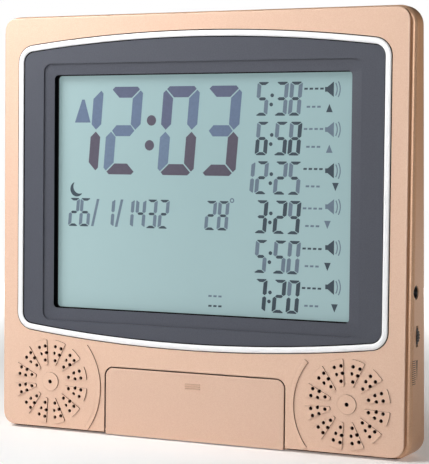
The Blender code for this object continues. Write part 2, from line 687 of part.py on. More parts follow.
def make_rear_case():
    """Rear shell: a wedge-shaped tub with a battery bay, two foot wells, screw bosses,
    a hanging hole, and openings for the inlet and the volume wheel."""
    rim_front = FRONT_THICKNESS + GAP
    case = block("rear_case", case_outline(0), rim_front, 0, rear_inset=0.0,
                 front_round=RIM_EDGE_ROUND, back_round=REAR_EDGE_ROUND)
    hollow = block("hollow", case_outline(CASE_WALL), rim_front - OVERRUN, 0, rear_inset=CASE_WALL)
    cut(case, hollow)
    bay_half = BAY_WIDTH / 2
    bay_top = BAY_BOTTOM + CELL_PITCH * (CELL_COUNT - 1) + 2 * CELL_RADIUS + 2 * GAP
    seat_half = bay_half + BAY_DOOR_SEAT
    pan_half = seat_half + BAY_WALL
    bay_shell = block("bay_shell", rectangle(-pan_half, pan_half, CASE_WALL / 2,
                                             bay_top + BAY_DOOR_SEAT + BAY_WALL),
                      BAY_DEPTH - BAY_WALL / 2, 0, rear_inset=CASE_WALL / 2)
    bay = block("bay", rectangle(-bay_half, bay_half, BAY_BOTTOM, bay_top), BAY_DEPTH, 0,
                rear_inset=-OVERRUN)
    seat = rectangle(-seat_half, seat_half, BAY_BOTTOM - BAY_DOOR_SEAT / 2, bay_top + BAY_DOOR_SEAT)
    bay_seat = block("bay_seat", seat, 0, 0, rear_inset=-OVERRUN,
                     front_inset=BAY_DOOR_THICKNESS + BAY_DOOR_GAP)
    join(case, bay_shell)
    pans = []
    wells = []
    finger_pans = []
    fingers = []
    for sign in (-1, 1):
        middle = sign * FOOT_OFFSET
        inner = FOOT_WIDTH / 2 + GAP
        outer = inner + PAN_WALL
        pans.append(block("foot_pan", rectangle(middle - outer, middle + outer, CASE_WALL / 2,
                                                FOOT_TOP + GAP + PAN_WALL),
                          0, 0, rear_inset=CASE_WALL / 2, front_inset=FOOT_SEAT + PAN_WALL))
        wells.append(block("foot_well", rectangle(middle - inner, middle + inner, -OVERRUN,
                                                  FOOT_TOP + GAP),
                           0, 0, rear_inset=-OVERRUN, front_inset=FOOT_SEAT + GAP))
        finger_pans.append(block("finger_pan", rectangle(middle - FINGER_WIDTH / 2 - PAN_WALL,
                                                  middle + FINGER_WIDTH / 2 + PAN_WALL,
                                                  FOOT_TOP,
                                                  FOOT_TOP + FINGER_HEIGHT + PAN_WALL),
                          0, 0, rear_inset=CASE_WALL / 2, front_inset=FOOT_SEAT + PAN_WALL))
        fingers.append(block("finger_notch", rectangle(middle - FINGER_WIDTH / 2,
                                                       middle + FINGER_WIDTH / 2, FOOT_TOP - OVERRUN,
                                                       FOOT_TOP + FINGER_HEIGHT),
                             0, 0, rear_inset=-OVERRUN, front_inset=FOOT_SEAT))
    join(case, gather("foot_pans", pans), gather("finger_pans", finger_pans))
    bosses = gather("rear_bosses", [
        block("rear_boss", circle(place, REAR_BOSS_RADIUS, SMALL_ROUND_STEPS), BOSS_TIP + GAP, 0,
              rear_inset=CASE_WALL / 2) for place in mirrored_places()])
    join(case, bosses)
    cut(case, bay, bay_seat, gather("foot_wells", wells), gather("finger_notches", fingers))
    foot_pins = [rod("foot_pin_hole",
                     (sign * FOOT_OFFSET - FOOT_WIDTH / 2 - GAP - FOOT_PIN_REACH, foot_axis_depth(),
                      FOOT_AXIS_HEIGHT),
                     (sign * FOOT_OFFSET + FOOT_WIDTH / 2 + GAP + FOOT_PIN_REACH, foot_axis_depth(),
                      FOOT_AXIS_HEIGHT), FOOT_PIN_RADIUS + PIN_CLEARANCE, PIN_STEPS)
                 for sign in (-1, 1)]
    foot_pins.append(bay_door_pin("bay_pin_hole", seat_half + BAY_PIN_REACH + GAP,
                                  BAY_PIN_RADIUS + PIN_CLEARANCE))
    cut(case, gather("pin_holes", foot_pins))
    bores = gather("screw_bores", [
        rod("bore", (x, BOSS_TIP - OVERRUN, z), (x, SCREW_SEAT + OVERRUN, z), SCREW_RADIUS + GAP,
            SMALL_ROUND_STEPS) for x, z in mirrored_places()])
    heads = gather("screw_wells", [
        rod("well", (x, SCREW_SEAT, z), (x, DEPTH_AT_BASE + OVERRUN, z), SCREW_HEAD_RADIUS + GAP,
            SMALL_ROUND_STEPS) for x, z in mirrored_places()])
    cut(case, bores, heads)
    half_notch = DOOR_WIDTH / 2 + DOOR_GAP
    sweep = math.hypot(DOOR_AXIS_DEPTH, DOOR_AXIS_HEIGHT - DOOR_BOTTOM)
    notch = box("door_notch", -half_notch, half_notch, 0, DOOR_AXIS_DEPTH + sweep + DOOR_GAP,
                -OVERRUN, CASE_WALL + OVERRUN)
    wall_middle = CASE_WIDTH / 2 - CASE_WALL / 2
    inlet_hole = rod("inlet_hole", (wall_middle - CASE_WALL, INLET_DEPTH, INLET_HEIGHT),
                     (wall_middle + CASE_WALL, INLET_DEPTH, INLET_HEIGHT), INLET_RADIUS + GAP)
    wheel_slot = box("wheel_slot", wall_middle - CASE_WALL, wall_middle + CASE_WALL,
                     WHEEL_DEPTH - SLOT_WIDTH / 2, WHEEL_DEPTH + SLOT_WIDTH / 2,
                     WHEEL_HEIGHT - SLOT_HEIGHT / 2, WHEEL_HEIGHT + SLOT_HEIGHT / 2)
    relief = box("wheel_relief", wall_middle - CASE_WALL, CASE_WIDTH / 2 - SLOT_RELIEF,
                 WHEEL_DEPTH - SLOT_WIDTH / 2 - GAP, WHEEL_DEPTH + SLOT_WIDTH / 2 + GAP,
                 WHEEL_HEIGHT - WHEEL_RADIUS - GAP, WHEEL_HEIGHT + WHEEL_RADIUS + GAP)
    hanger = block("hanger", circle((0, HANGER_HEIGHT), HANGER_RADIUS, ROUND_STEPS),
                   rear_depth(HANGER_HEIGHT) - CASE_WALL * 2, 0, rear_inset=-OVERRUN)
    slot_half = HANGER_SLOT / 2
    hanger_slot = block("hanger_slot", rectangle(-slot_half, slot_half, HANGER_HEIGHT,
                                                 HANGER_HEIGHT + HANGER_REACH, slot_half - WELD * 2, 4),
                        rear_depth(HANGER_HEIGHT) - CASE_WALL * 2, 0, rear_inset=-OVERRUN)
    cut(case, notch, inlet_hole, wheel_slot, relief, hanger, hanger_slot)
    finish(case, "rear_plastic")


def bay_door_low():
    return BAY_BOTTOM - BAY_DOOR_SEAT / 2 + BAY_DOOR_GAP


def bay_door_axis():
    """Depth and height of the battery door's hinge line, at its lower edge."""
    low = bay_door_low()
    return rear_depth(low) - BAY_DOOR_THICKNESS / 2, low + BAY_DOOR_THICKNESS / 2


def bay_door_pin(name, reach, radius):
    depth, height = bay_door_axis()
    return rod(name, (-reach, depth, height), (reach, depth, height), radius, PIN_STEPS)


def foot_axis_depth():
    return rear_depth(FOOT_AXIS_HEIGHT) - FOOT_BARREL_RADIUS


def make_display():
    """Silver ring, dark bezel with its sloping recess, and the display stack behind it."""
    ring = ring_slab("trim_ring", surround_outline(0), surround_outline(-RING_FACE), -RING_PROUD,
                     FRONT_THICKNESS)
    soften = ring.modifiers.new("soften", "BEVEL")
    soften.width = RING_ROUND
    soften.segments = 2
    soften.limit_method = "ANGLE"
    soften.angle_limit = math.radians(60)
    finish(ring, "silver_trim")
    bezel = block("display_bezel", surround_outline(-RING_FACE - GAP), BEZEL_SET_BACK, BEZEL_BACK)
    flange_front = FRONT_THICKNESS + GAP
    flange = block("flange", surround_outline(BEZEL_FLANGE), flange_front,
                   flange_front + FLANGE_THICKNESS)
    join(bezel, flange)
    window = rectangle(-WINDOW_WIDTH / 2, WINDOW_WIDTH / 2, WINDOW_BOTTOM, WINDOW_TOP, WINDOW_CORNER)
    recess = rectangle(-RECESS_WIDTH / 2, RECESS_WIDTH / 2, RECESS_BOTTOM, RECESS_TOP, RECESS_CORNER)
    step_back = BEZEL_SET_BACK + STEP_DEPTH
    slope = block("recess", recess, step_back, step_back + SLOPE_DEPTH, far_outline=window)
    recess_mouth = block("recess_mouth", recess, -OVERRUN, step_back + WELD)
    window_cut = block("window_cut", window, BEZEL_SET_BACK + OVERRUN, BEZEL_BACK + OVERRUN)
    cut(bezel, slope, recess_mouth, window_cut)
    finish(bezel, "bezel_plastic")
    half = WINDOW_WIDTH / 2 + GLASS_MARGIN
    bottom = WINDOW_BOTTOM - GLASS_MARGIN
    top = WINDOW_TOP + GLASS_MARGIN
    glass_front = BEZEL_BACK + GAP
    glass_back = glass_front + GLASS_THICKNESS
    finish(box("lcd_panel", -half, half, glass_front, glass_back, bottom, top), "display_glass")
    strip_half = STRIP_WIDTH / 2
    holder_back = glass_front + HOLDER_DEPTH
    finish(box("zebra_connector", -strip_half, strip_half, glass_back + GAP, holder_back, bottom,
               bottom + STRIP_HEIGHT), "dark_rubber")
    guide_half = half - GUIDE_INSET
    finish(box("light_guide", -guide_half, guide_half, glass_back + GAP,
               glass_back + GAP + GUIDE_THICKNESS, bottom + STRIP_HEIGHT + GUIDE_INSET,
               top - GUIDE_INSET), "white_plastic")
    inner = half + GAP
    outer = inner + HOLDER_WALL
    holder = ring_slab("lcd_holder", rectangle(-outer, outer, bottom - GAP - HOLDER_WALL,
                                               top + GAP + HOLDER_WALL),
                       rectangle(-inner, inner, bottom - GAP, top + GAP), glass_front, holder_back)
    finish(holder, "white_plastic")


def board_depth():
    """Front of the main board, just behind the display holder."""
    return BEZEL_BACK + GAP + HOLDER_DEPTH + GAP


def make_main_board():
    front = board_depth()
    back = front + BOARD_THICKNESS
    finish(box("main_board", -BOARD_WIDTH / 2, BOARD_WIDTH / 2, front, back, BOARD_BOTTOM, BOARD_TOP),
           "circuit_board")
    finish(box("controller_chip", -CHIP_SIZE / 2, CHIP_SIZE / 2, back + GAP,
               back + GAP + CHIP_THICKNESS, CHIP_HEIGHT - CHIP_SIZE / 2, CHIP_HEIGHT + CHIP_SIZE / 2),
           "black_plastic")
    middle = back + GAP + CRYSTAL_RADIUS
    crystal = rod("quartz_crystal", (CRYSTAL_OFFSET, middle, CHIP_HEIGHT - CRYSTAL_LENGTH / 2),
                  (CRYSTAL_OFFSET, middle, CHIP_HEIGHT + CRYSTAL_LENGTH / 2), CRYSTAL_RADIUS,
                  SMALL_ROUND_STEPS)
    finish(crystal, "plated_steel", smooth=True)


def make_key_door():
    """Drop-down door: a plate on a barrel with two stub pins, a tongue that meets the
    catch, and three low bars that mark where to press."""
    half = DOOR_WIDTH / 2
    door = block("key_door", door_outline(half, DOOR_BOTTOM, DOOR_TOP, DOOR_CORNER), 0,
                 DOOR_THICKNESS)
    barrel = rod("door_barrel", (-half, DOOR_AXIS_DEPTH, DOOR_AXIS_HEIGHT),
                 (half, DOOR_AXIS_DEPTH, DOOR_AXIS_HEIGHT), DOOR_AXIS_DEPTH - WELD, PIN_STEPS)
    pin_reach = half + DOOR_GAP + DOOR_PIN_REACH
    pins = rod("door_pins", (-pin_reach, DOOR_AXIS_DEPTH, DOOR_AXIS_HEIGHT),
               (pin_reach, DOOR_AXIS_DEPTH, DOOR_AXIS_HEIGHT), DOOR_PIN_RADIUS, PIN_STEPS)
    tongue = box("door_tongue", -TONGUE_WIDTH / 2, TONGUE_WIDTH / 2, DOOR_THICKNESS / 2, TONGUE_TIP,
                 TONGUE_CENTRE - TONGUE_HEIGHT / 2, TONGUE_CENTRE + TONGUE_HEIGHT / 2)
    first = PRESS_BAR_CENTRE - PRESS_BAR_PITCH * (PRESS_BAR_COUNT - 1) / 2
    bars = gather("press_bars", [
        box("bar", -PRESS_BAR_WIDTH / 2, PRESS_BAR_WIDTH / 2, -PRESS_BAR_PROUD, DOOR_THICKNESS / 2,
            first + PRESS_BAR_PITCH * i - PRESS_BAR_HEIGHT / 2,
            first + PRESS_BAR_PITCH * i + PRESS_BAR_HEIGHT / 2) for i in range(PRESS_BAR_COUNT)])
    join(door, barrel, pins, tongue, bars)
    finish(door, "case_plastic", pivot=(0, DOOR_AXIS_DEPTH, DOOR_AXIS_HEIGHT))


def make_keys():
    """Keys with a flange behind the well floor, the rubber mat, the key board and the
    sprung catch for the door's tongue."""
    flange_front = WELL_FLOOR_DEPTH + WELL_FLOOR + GAP
    flange_back = flange_front + KEY_FLANGE_THICKNESS
    for name, x, z in key_places():
        half_w = KEY_WIDTH / 2
        half_h = KEY_HEIGHT / 2
        key = block(name, rectangle(x - half_w, x + half_w, z - half_h, z + half_h, KEY_CORNER,
                                    KEY_CORNER_STEPS),
                    KEY_FRONT, flange_back, front_round=KEY_ROUND)
        flange = box(name + "_flange", x - half_w - KEY_FLANGE, x + half_w + KEY_FLANGE, flange_front,
                     flange_back, z - half_h - KEY_FLANGE, z + half_h + KEY_FLANGE)
        join(key, flange)
        finish(key, "dark_rubber", pivot=(x, KEY_FRONT, z))
    mat_front = flange_back + KEY_TRAVEL + GAP
    mat_back = mat_front + MEMBRANE_THICKNESS
    half = DOOR_WIDTH / 2 + DOOR_GAP - GAP
    low = CASE_WALL + 2 * GAP
    high = DOOR_TOP + DOOR_GAP - GAP
    catch_low = TONGUE_CENTRE - CATCH_HEIGHT / 2
    finish(box("keypad_mat", -half, half, mat_front, mat_back, low, catch_low - GAP), "dark_rubber")
    board_front = max(mat_back, WELL_BACK) + GAP
    well_half = DOOR_WIDTH / 2 + DOOR_GAP + WELL_WALL
    finish(box("key_board", -well_half, well_half, board_front, board_front + KEY_BOARD_THICKNESS,
               low, high + WELL_WALL), "circuit_board")
    catch = box("door_catch", -CATCH_WIDTH / 2, CATCH_WIDTH / 2, flange_front,
                flange_front + CATCH_THICKNESS, catch_low, TONGUE_CENTRE + CATCH_HEIGHT / 2)
    finish(catch, "white_plastic")


def make_speaker(side, centre):
    """Foam gasket, pressed steel frame, paper cone and magnet."""
    gasket_front = FRONT_THICKNESS + GAP
    gasket_back = gasket_front + GASKET_THICKNESS
    gasket = turned("speaker_gasket_" + side, [
        (SPEAKER_RADIUS, gasket_back), (SPEAKER_RADIUS, gasket_front),
        (FRAME_OPENING, gasket_front), (FRAME_OPENING, gasket_back)], centre, closed=True)
    finish(gasket, "foam", smooth=True)
    front = gasket_back + GAP
    shoulder = front + FRAME_FLANGE
    floor = front + FRAME_DEPTH
    frame = turned("speaker_frame_" + side, [
        (FRAME_NECK + FRAME_WALL / 2, floor), (FRAME_OPENING + FRAME_WALL, shoulder),
        (SPEAKER_RADIUS, shoulder), (SPEAKER_RADIUS, front), (FRAME_OPENING, front),
        (FRAME_OPENING, shoulder + CONTACT_THICKNESS / 2), (FRAME_NECK, floor - FRAME_WALL),
        (FRAME_THROAT, floor - FRAME_WALL), (FRAME_THROAT, floor)], centre, closed=True)
    finish(frame, "plated_steel", smooth=True)
    back = floor + GAP
    magnet = turned("speaker_magnet_" + side, [
        (0, back + MAGNET_DEPTH + POLE_DEPTH), (POLE_RADIUS, back + MAGNET_DEPTH + POLE_DEPTH),
        (POLE_RADIUS, back + MAGNET_DEPTH), (MAGNET_RADIUS, back + MAGNET_DEPTH),
        (MAGNET_RADIUS, back), (0, back)], centre)
    finish(magnet, "speaker_paper", smooth=True)
    rim = FRAME_OPENING - CONE_CLEARANCE
    lip = front + GAP
    cone = turned("speaker_cone_" + side, [
        (0, lip + CONE_DEPTH - CAP_RISE + CONE_WALL), (CAP_RADIUS, lip + CONE_DEPTH + CONE_WALL),
        (rim - CONE_RIM, lip + CONE_RIM), (rim, lip + CONE_RIM), (rim, lip),
        (rim - CONE_RIM, lip), (CAP_RADIUS, lip + CONE_DEPTH), (0, lip + CONE_DEPTH - CAP_RISE)],
        centre)
    finish(cone, "speaker_paper", smooth=True)


def make_side_controls():
    """Power inlet with its centre pin, and the volume wheel on its control."""
    outside = CASE_WIDTH / 2
    mouth = outside - INLET_SET_BACK
    inner = outside - CASE_WALL - GAP
    axis = (INLET_DEPTH, INLET_HEIGHT)
    inlet = box("power_inlet", mouth - INLET_LENGTH, inner, axis[0] - INLET_BLOCK,
                axis[0] + INLET_BLOCK, axis[1] - INLET_RADIUS - INLET_BLOCK / 4,
                axis[1] + INLET_RADIUS + INLET_BLOCK / 4)
    sleeve = rod("inlet_sleeve", (inner - OVERRUN, *axis), (mouth, *axis), INLET_RADIUS)
    bore_end = mouth - INLET_LENGTH + OVERRUN
    bore = rod("inlet_bore", (bore_end, *axis), (mouth + OVERRUN, *axis), INLET_BORE)
    pin_seat = rod("inlet_pin_seat", (mouth - INLET_LENGTH - OVERRUN, *axis), (mouth, *axis),
                   INLET_PIN_RADIUS + GAP, SMALL_ROUND_STEPS)
    join(inlet, sleeve)
    cut(inlet, bore, pin_seat)
    finish(inlet, "black_plastic")
    pin = rod("inlet_pin", (mouth - INLET_LENGTH, *axis),
              (mouth - INLET_LENGTH + INLET_PIN_LENGTH, *axis), INLET_PIN_RADIUS, SMALL_ROUND_STEPS)
    finish(pin, "plated_steel", smooth=True)
    centre = (outside + WHEEL_PROUD - WHEEL_RADIUS, WHEEL_HEIGHT)
    teeth = []
    for tooth in range(WHEEL_TEETH):
        turn = math.tau * tooth / WHEEL_TEETH
        half_tooth = math.pi / WHEEL_TEETH
        for radius, angle in ((WHEEL_RADIUS, turn), (WHEEL_RADIUS - WHEEL_TOOTH, turn + half_tooth)):
            teeth.append((centre[0] + radius * math.cos(angle), centre[1] + radius * math.sin(angle)))
    wheel_front = WHEEL_DEPTH - WHEEL_THICKNESS / 2
    wheel_back = WHEEL_DEPTH + WHEEL_THICKNESS / 2
    wheel = block("volume_wheel", teeth, wheel_front, wheel_back)
    shaft_end = wheel_back + WHEEL_SHAFT_LENGTH
    shaft = rod("wheel_shaft", (centre[0], WHEEL_DEPTH, centre[1]), (centre[0], shaft_end, centre[1]),
                WHEEL_SHAFT_RADIUS, SMALL_ROUND_STEPS)
    join(wheel, shaft)
    finish(wheel, "black_plastic", pivot=(centre[0], WHEEL_DEPTH, centre[1]))
    pot_front = wheel_back + GAP
    pot_back = pot_front + POT_LENGTH
    pot = rod("volume_control", (centre[0], pot_front, centre[1]), (centre[0], pot_back, centre[1]),
              POT_RADIUS)
    socket = rod("shaft_socket", (centre[0], pot_front - OVERRUN, centre[1]),
                 (centre[0], shaft_end + GAP, centre[1]), WHEEL_SHAFT_RADIUS + PIN_CLEARANCE,
                 SMALL_ROUND_STEPS)
    cut(pot, socket)
    finish(pot, "plated_steel")
    board_right = outside - CASE_WALL - GAP
    finish(box("volume_board", board_right - POT_BOARD_WIDTH, board_right, pot_back + GAP,
               pot_back + GAP + BOARD_THICKNESS, WHEEL_HEIGHT - POT_BOARD_HEIGHT / 2,
               WHEEL_HEIGHT + POT_BOARD_HEIGHT / 2), "circuit_board")


def spring_points(root, tip, height):
    """Conical battery spring: turns that close towards the cell."""
    count = SPRING_TURNS * SPRING_STEPS
    points = []
    for i in range(count + 1):
        share = i / count
        radius = SPRING_RADIUS + (SPRING_TIP_RADIUS - SPRING_RADIUS) * share
        turn = math.tau * SPRING_TURNS * share
        points.append((root + (tip - root) * share, height[0] + radius * math.cos(turn),
                       height[1] + radius * math.sin(turn)))
    return points


def tube(name, points, radius, resolution=0):
    """Round wire along a list of points."""
    curve = bpy.data.curves.new(name, "CURVE")
    curve.dimensions = "3D"
    curve.bevel_depth = radius
    curve.bevel_resolution = resolution
    curve.use_fill_caps = True
    spline = curve.splines.new("POLY")
    spline.points.add(len(points) - 1)
    for point, place in zip(spline.points, points):
        point.co = (*place, 1)
    return curve_to_mesh(name, curve, Matrix.Identity(4))


def make_battery_bay():
    """Cells side by side, each between a plate and a spring, behind a tilt-out door."""
    cell_depth = BAY_DEPTH + GAP + CELL_RADIUS
    plate_half = CONTACT_SIZE / 2
    wall = BAY_WIDTH / 2 - GAP
    for index in range(CELL_COUNT):
        number = str(index + 1)
        height = BAY_BOTTOM + GAP + CELL_RADIUS + CELL_PITCH * index
        facing = 1 if index % 2 == 0 else -1
        plate = wall - CONTACT_THICKNESS
        nub_end = plate - GAP
        cell_right = nub_end - NUB_LENGTH
        cell_left = cell_right - CELL_LENGTH
        cell = rod("battery_cell_" + number, (facing * cell_left, cell_depth, height),
                   (facing * cell_right, cell_depth, height), CELL_RADIUS)
        nub = rod("cell_nub_" + number, (facing * (cell_right - OVERRUN), cell_depth, height),
                  (facing * nub_end, cell_depth, height), NUB_RADIUS, SMALL_ROUND_STEPS)
        join(cell, nub)
        finish(cell, "cell_jacket")
        finish(box("contact_plate_" + number, *sorted((facing * plate, facing * wall)),
                   cell_depth - plate_half, cell_depth + plate_half, height - plate_half,
                   height + plate_half), "plated_steel")
        root = -facing * (wall - SPRING_WIRE)
        tip = facing * (cell_left - SPRING_WIRE - GAP)
        finish(tube("contact_spring_" + number,
                    spring_points(root, tip, (cell_depth, height)), SPRING_WIRE), "plated_steel",
               smooth=True)
    bay_top = BAY_BOTTOM + CELL_PITCH * (CELL_COUNT - 1) + 2 * CELL_RADIUS + 2 * GAP
    half = BAY_WIDTH / 2 + BAY_DOOR_SEAT - GAP
    low = bay_door_low()
    high = bay_top + BAY_DOOR_SEAT - GAP
    door = block("battery_door", rectangle(-half, half, low, high), 0, 0, rear_inset=0.0,
                 front_inset=BAY_DOOR_THICKNESS)
    grips = gather("grip_grooves", [
        block("grip", rectangle(-GRIP_WIDTH / 2, GRIP_WIDTH / 2,
                                high - GRIP_PITCH * (i + 1) - GRIP_HEIGHT, high - GRIP_PITCH * (i + 1)),
              0, 0, rear_inset=-OVERRUN, front_inset=GRIP_DEPTH) for i in range(GRIP_COUNT)])
    join(door, bay_door_pin("battery_door_pin", half + GAP + BAY_PIN_REACH, BAY_PIN_RADIUS))
    cut(door, grips)
    finish(door, "rear_plastic", pivot=(0, *bay_door_axis()))


def make_feet():
    """Two feet that fold down from the rear wall to steady the clock on a table."""
    for side, sign in (("left", -1), ("right", 1)):
        middle = sign * FOOT_OFFSET
        half = FOOT_WIDTH / 2
        depth = foot_axis_depth()
        foot = block("foot_" + side, rectangle(middle - half, middle + half, FOOT_AXIS_HEIGHT, FOOT_TOP),
                     0, 0, rear_inset=(FOOT_SEAT - FOOT_THICKNESS) / 2,
                     front_inset=FOOT_THICKNESS + (FOOT_SEAT - FOOT_THICKNESS) / 2)
        barrel = rod("foot_barrel_" + side, (middle - half, depth, FOOT_AXIS_HEIGHT),
                     (middle + half, depth, FOOT_AXIS_HEIGHT), FOOT_BARREL_RADIUS - GAP, PIN_STEPS)
        reach = half + GAP + FOOT_PIN_REACH - GAP
        pins = rod("foot_pins_" + side, (middle - reach, depth, FOOT_AXIS_HEIGHT),
                   (middle + reach, depth, FOOT_AXIS_HEIGHT), FOOT_PIN_RADIUS, PIN_STEPS)
        join(foot, barrel, pins)
        finish(foot, "rear_plastic", pivot=(middle, depth, FOOT_AXIS_HEIGHT))


def make_screws():
    """Case screws, driven from the rear."""
    for index, (x, z) in enumerate(mirrored_places()):
        seat = SCREW_SEAT + GAP
        screw = rod("case_screw_" + str(index + 1), (x, seat, z), (x, seat + SCREW_HEAD_HEIGHT, z),
                    SCREW_HEAD_RADIUS, SMALL_ROUND_STEPS)
        shank = rod("screw_shank_" + str(index + 1), (x, SCREW_POINT, z), (x, seat + SCREW_HEAD_HEIGHT / 2, z),
                    SCREW_RADIUS, SMALL_ROUND_STEPS)
        head = seat + SCREW_HEAD_HEIGHT
        half = SCREW_DRIVE_WIDTH / 2
        drive_one = box("drive_one_" + str(index + 1), x - SCREW_RADIUS, x + SCREW_RADIUS,
                        head - SCREW_DRIVE_DEPTH, head + OVERRUN, z - half, z + half)
        drive_two = box("drive_two_" + str(index + 1), x - half, x + half, head - SCREW_DRIVE_DEPTH,
                        head + OVERRUN, z - SCREW_RADIUS, z + SCREW_RADIUS)
        join(screw, shank)
        cut(screw, drive_one, drive_two)
        finish(screw, "plated_steel")


def main():
    start_scene()
    make_front_case()
    make_rear_case()
    make_display()
    make_main_board()
    make_key_door()
    make_keys()
    for side, centre in speaker_centres().items():
        make_speaker(side, centre)
    make_side_controls()
    make_battery_bay()
    make_feet()
    make_screws()


main()
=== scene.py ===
import math

import bmesh
import bpy
from mathutils import Matrix, Vector


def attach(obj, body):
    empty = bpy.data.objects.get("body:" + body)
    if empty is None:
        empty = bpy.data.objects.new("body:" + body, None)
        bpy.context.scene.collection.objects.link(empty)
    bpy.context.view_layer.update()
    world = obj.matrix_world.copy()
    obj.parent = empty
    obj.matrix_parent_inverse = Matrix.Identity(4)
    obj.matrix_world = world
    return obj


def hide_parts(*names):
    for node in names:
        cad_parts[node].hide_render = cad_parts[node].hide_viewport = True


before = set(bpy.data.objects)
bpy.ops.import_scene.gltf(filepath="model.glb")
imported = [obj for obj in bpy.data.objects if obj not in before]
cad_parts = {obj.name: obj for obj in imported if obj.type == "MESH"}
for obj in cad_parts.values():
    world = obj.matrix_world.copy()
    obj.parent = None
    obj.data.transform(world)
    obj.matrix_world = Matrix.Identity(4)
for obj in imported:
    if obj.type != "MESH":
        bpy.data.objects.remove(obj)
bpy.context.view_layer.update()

# Rear case: the wedge-shaped back half of the clock, moulded in tinted plastic, with the
# front of its rim's foot painted dark brown as the shade where it meets the floor. Its
# rim stands out a little past the front cover, and wells in its back hold the feet, the
# battery door, the case screws and the hanging hole.
mm = 0.001
face = -14 * mm
case_width, case_height, case_corner = 240 * mm, 227 * mm, 9.5 * mm
depth_at_foot, depth_at_top = 26 * mm, 14 * mm
wall, rim_front, rim_round, rear_round = 2.4 * mm, 2.9 * mm, 2.3 * mm, 2 * mm
bay_half, bay_low, bay_high, bay_floor = 27 * mm, 3.9 * mm, 37.6 * mm, 11.55 * mm
bay_wall, bay_seat = 1.6 * mm, 2.6 * mm
foot_offset, foot_half, foot_top, foot_gap = 79.5 * mm, 12.5 * mm, 38 * mm, 0.3 * mm
finger_half, finger_rise, pan_wall, pan_depth = 6 * mm, 4.5 * mm, 1.8 * mm, 4.6 * mm
boss_radius, bore_radius, head_radius = 4.2 * mm, 1.55 * mm, 2.9 * mm
screw_places = [(side * x, z) for x, z in ((110.5 * mm, 217.5 * mm), (110.5 * mm, 9.2 * mm),
                                           (59.8 * mm, 42 * mm)) for side in (-1, 1)]
side_inner, side_outer = 116.7 * mm, 121.1 * mm
inlet_depth, inlet_height = 7.7 * mm, 84.2 * mm
wheel_x, wheel_height = 113.1 * mm, 62 * mm
hang_height, hang_floor = 205 * mm, 10.8 * mm
minus, plus = "DIFFERENCE", "UNION"
upended = Matrix.Rotation(math.pi / 2, 4, "X")


def rear_depth(height):
    """How far the sloping back stands behind the front face at a height."""
    return depth_at_foot - (depth_at_foot - depth_at_top) * height / case_height


def moved(shape, matrix):
    """Carry a shape to its place."""
    bmesh.ops.transform(shape, verts=shape.verts, matrix=matrix)
    return shape


def rounded(shape, parts, radius, steps, kind):
    """Round some corners or edges of a shape."""
    bmesh.ops.bevel(shape, geom=parts, offset=radius, segments=steps, profile=0.5, affect=kind,
                    material=-1)


def card(left, right, bottom, top, corner=0.0, steps=8, depth=0.0):
    """Upright flat face with rounded corners, at a depth behind the front face."""
    shape = bmesh.new()
    bmesh.ops.create_grid(shape, x_segments=1, y_segments=1, size=0.5)
    middle = Vector(((left + right) / 2, face + depth, (bottom + top) / 2))
    moved(shape, Matrix.Translation(middle) @ upended
          @ Matrix.Diagonal((right - left, top - bottom, 1, 1)))
    if corner:
        rounded(shape, shape.verts[:], corner, steps, "VERTICES")
    return shape


def disc(centre, radius, steps=32, depth=0.0):
    """Upright round face."""
    shape = bmesh.new()
    bmesh.ops.create_circle(shape, cap_ends=True, segments=steps, radius=radius)
    return moved(shape, Matrix.Translation((centre[0], face + depth, centre[1])) @ upended)


def thicken(shape, back=None, rear_inset=None, front_inset=None, front_round=0.0, back_round=0.0,
            rounds=4, end=None):
    """Give a flat face its thickness, up to a depth, up to the sloping back or up to a
    second face of another size, and round its front or back edges."""
    near = shape.verts[:]
    grown = bmesh.ops.extrude_face_region(shape, geom=shape.faces[:])
    far = [item for item in grown["geom"] if isinstance(item, bmesh.types.BMVert)]
    if end:
        end.verts.ensure_lookup_table()
        links = [next(edge.other_vert(vert) for edge in vert.link_edges
                      if edge.other_vert(vert) not in near) for vert in near]
        for place, vert in zip(end.verts, links):
            vert.co = place.co
        end.free()
    else:
        for vert in far:
            vert.co.y = face + (back if rear_inset is None else rear_depth(vert.co.z) - rear_inset)
    if front_inset is not None:
        for vert in near:
            vert.co.y = face + rear_depth(vert.co.z) - front_inset
    bmesh.ops.recalc_face_normals(shape, faces=shape.faces)
    for group, radius in ((set(near), front_round), (set(far), back_round)):
        if radius:
            edges = [edge for edge in shape.edges if set(edge.verts) <= group]
            rounded(shape, edges, radius, rounds, "EDGES")
    return shape


def bar(start, end, radius, steps=32):
    """Round bar between two points, given behind the front face."""
    start = Vector((start[0], face + start[1], start[2]))
    run = Vector((end[0], face + end[1], end[2])) - start
    shape = bmesh.new()
    bmesh.ops.create_cone(shape, cap_ends=True, segments=steps, radius1=radius, radius2=radius,
                          depth=run.length)
    return moved(shape, Matrix.Translation(start + run / 2)
                 @ run.to_track_quat("Z", "Y").to_matrix().to_4x4())


def side_bar(start, end, radius, steps):
    """Round bar through the right side wall, in line with the power inlet."""
    return bar((start, inlet_depth, inlet_height), (end, inlet_depth, inlet_height), radius, steps)


def together(shapes):
    """One shape from several that don't touch."""
    whole = shapes[0]
    for shape in shapes[1:]:
        mesh = bpy.data.meshes.new("joined")
        shape.to_mesh(mesh)
        shape.free()
        whole.from_mesh(mesh)
        bpy.data.meshes.remove(mesh)
    return whole


def added(name, data):
    """New object in the scene from a mesh, a curve, a light or a camera."""
    obj = bpy.data.objects.new(name, data)
    bpy.context.scene.collection.objects.link(obj)
    return obj


def solid(name, shape):
    """Object with its normals outwards, not yet part of the clock."""
    bmesh.ops.recalc_face_normals(shape, faces=shape.faces)
    mesh = bpy.data.meshes.new(name)
    shape.to_mesh(mesh)
    shape.free()
    return added(name, mesh)


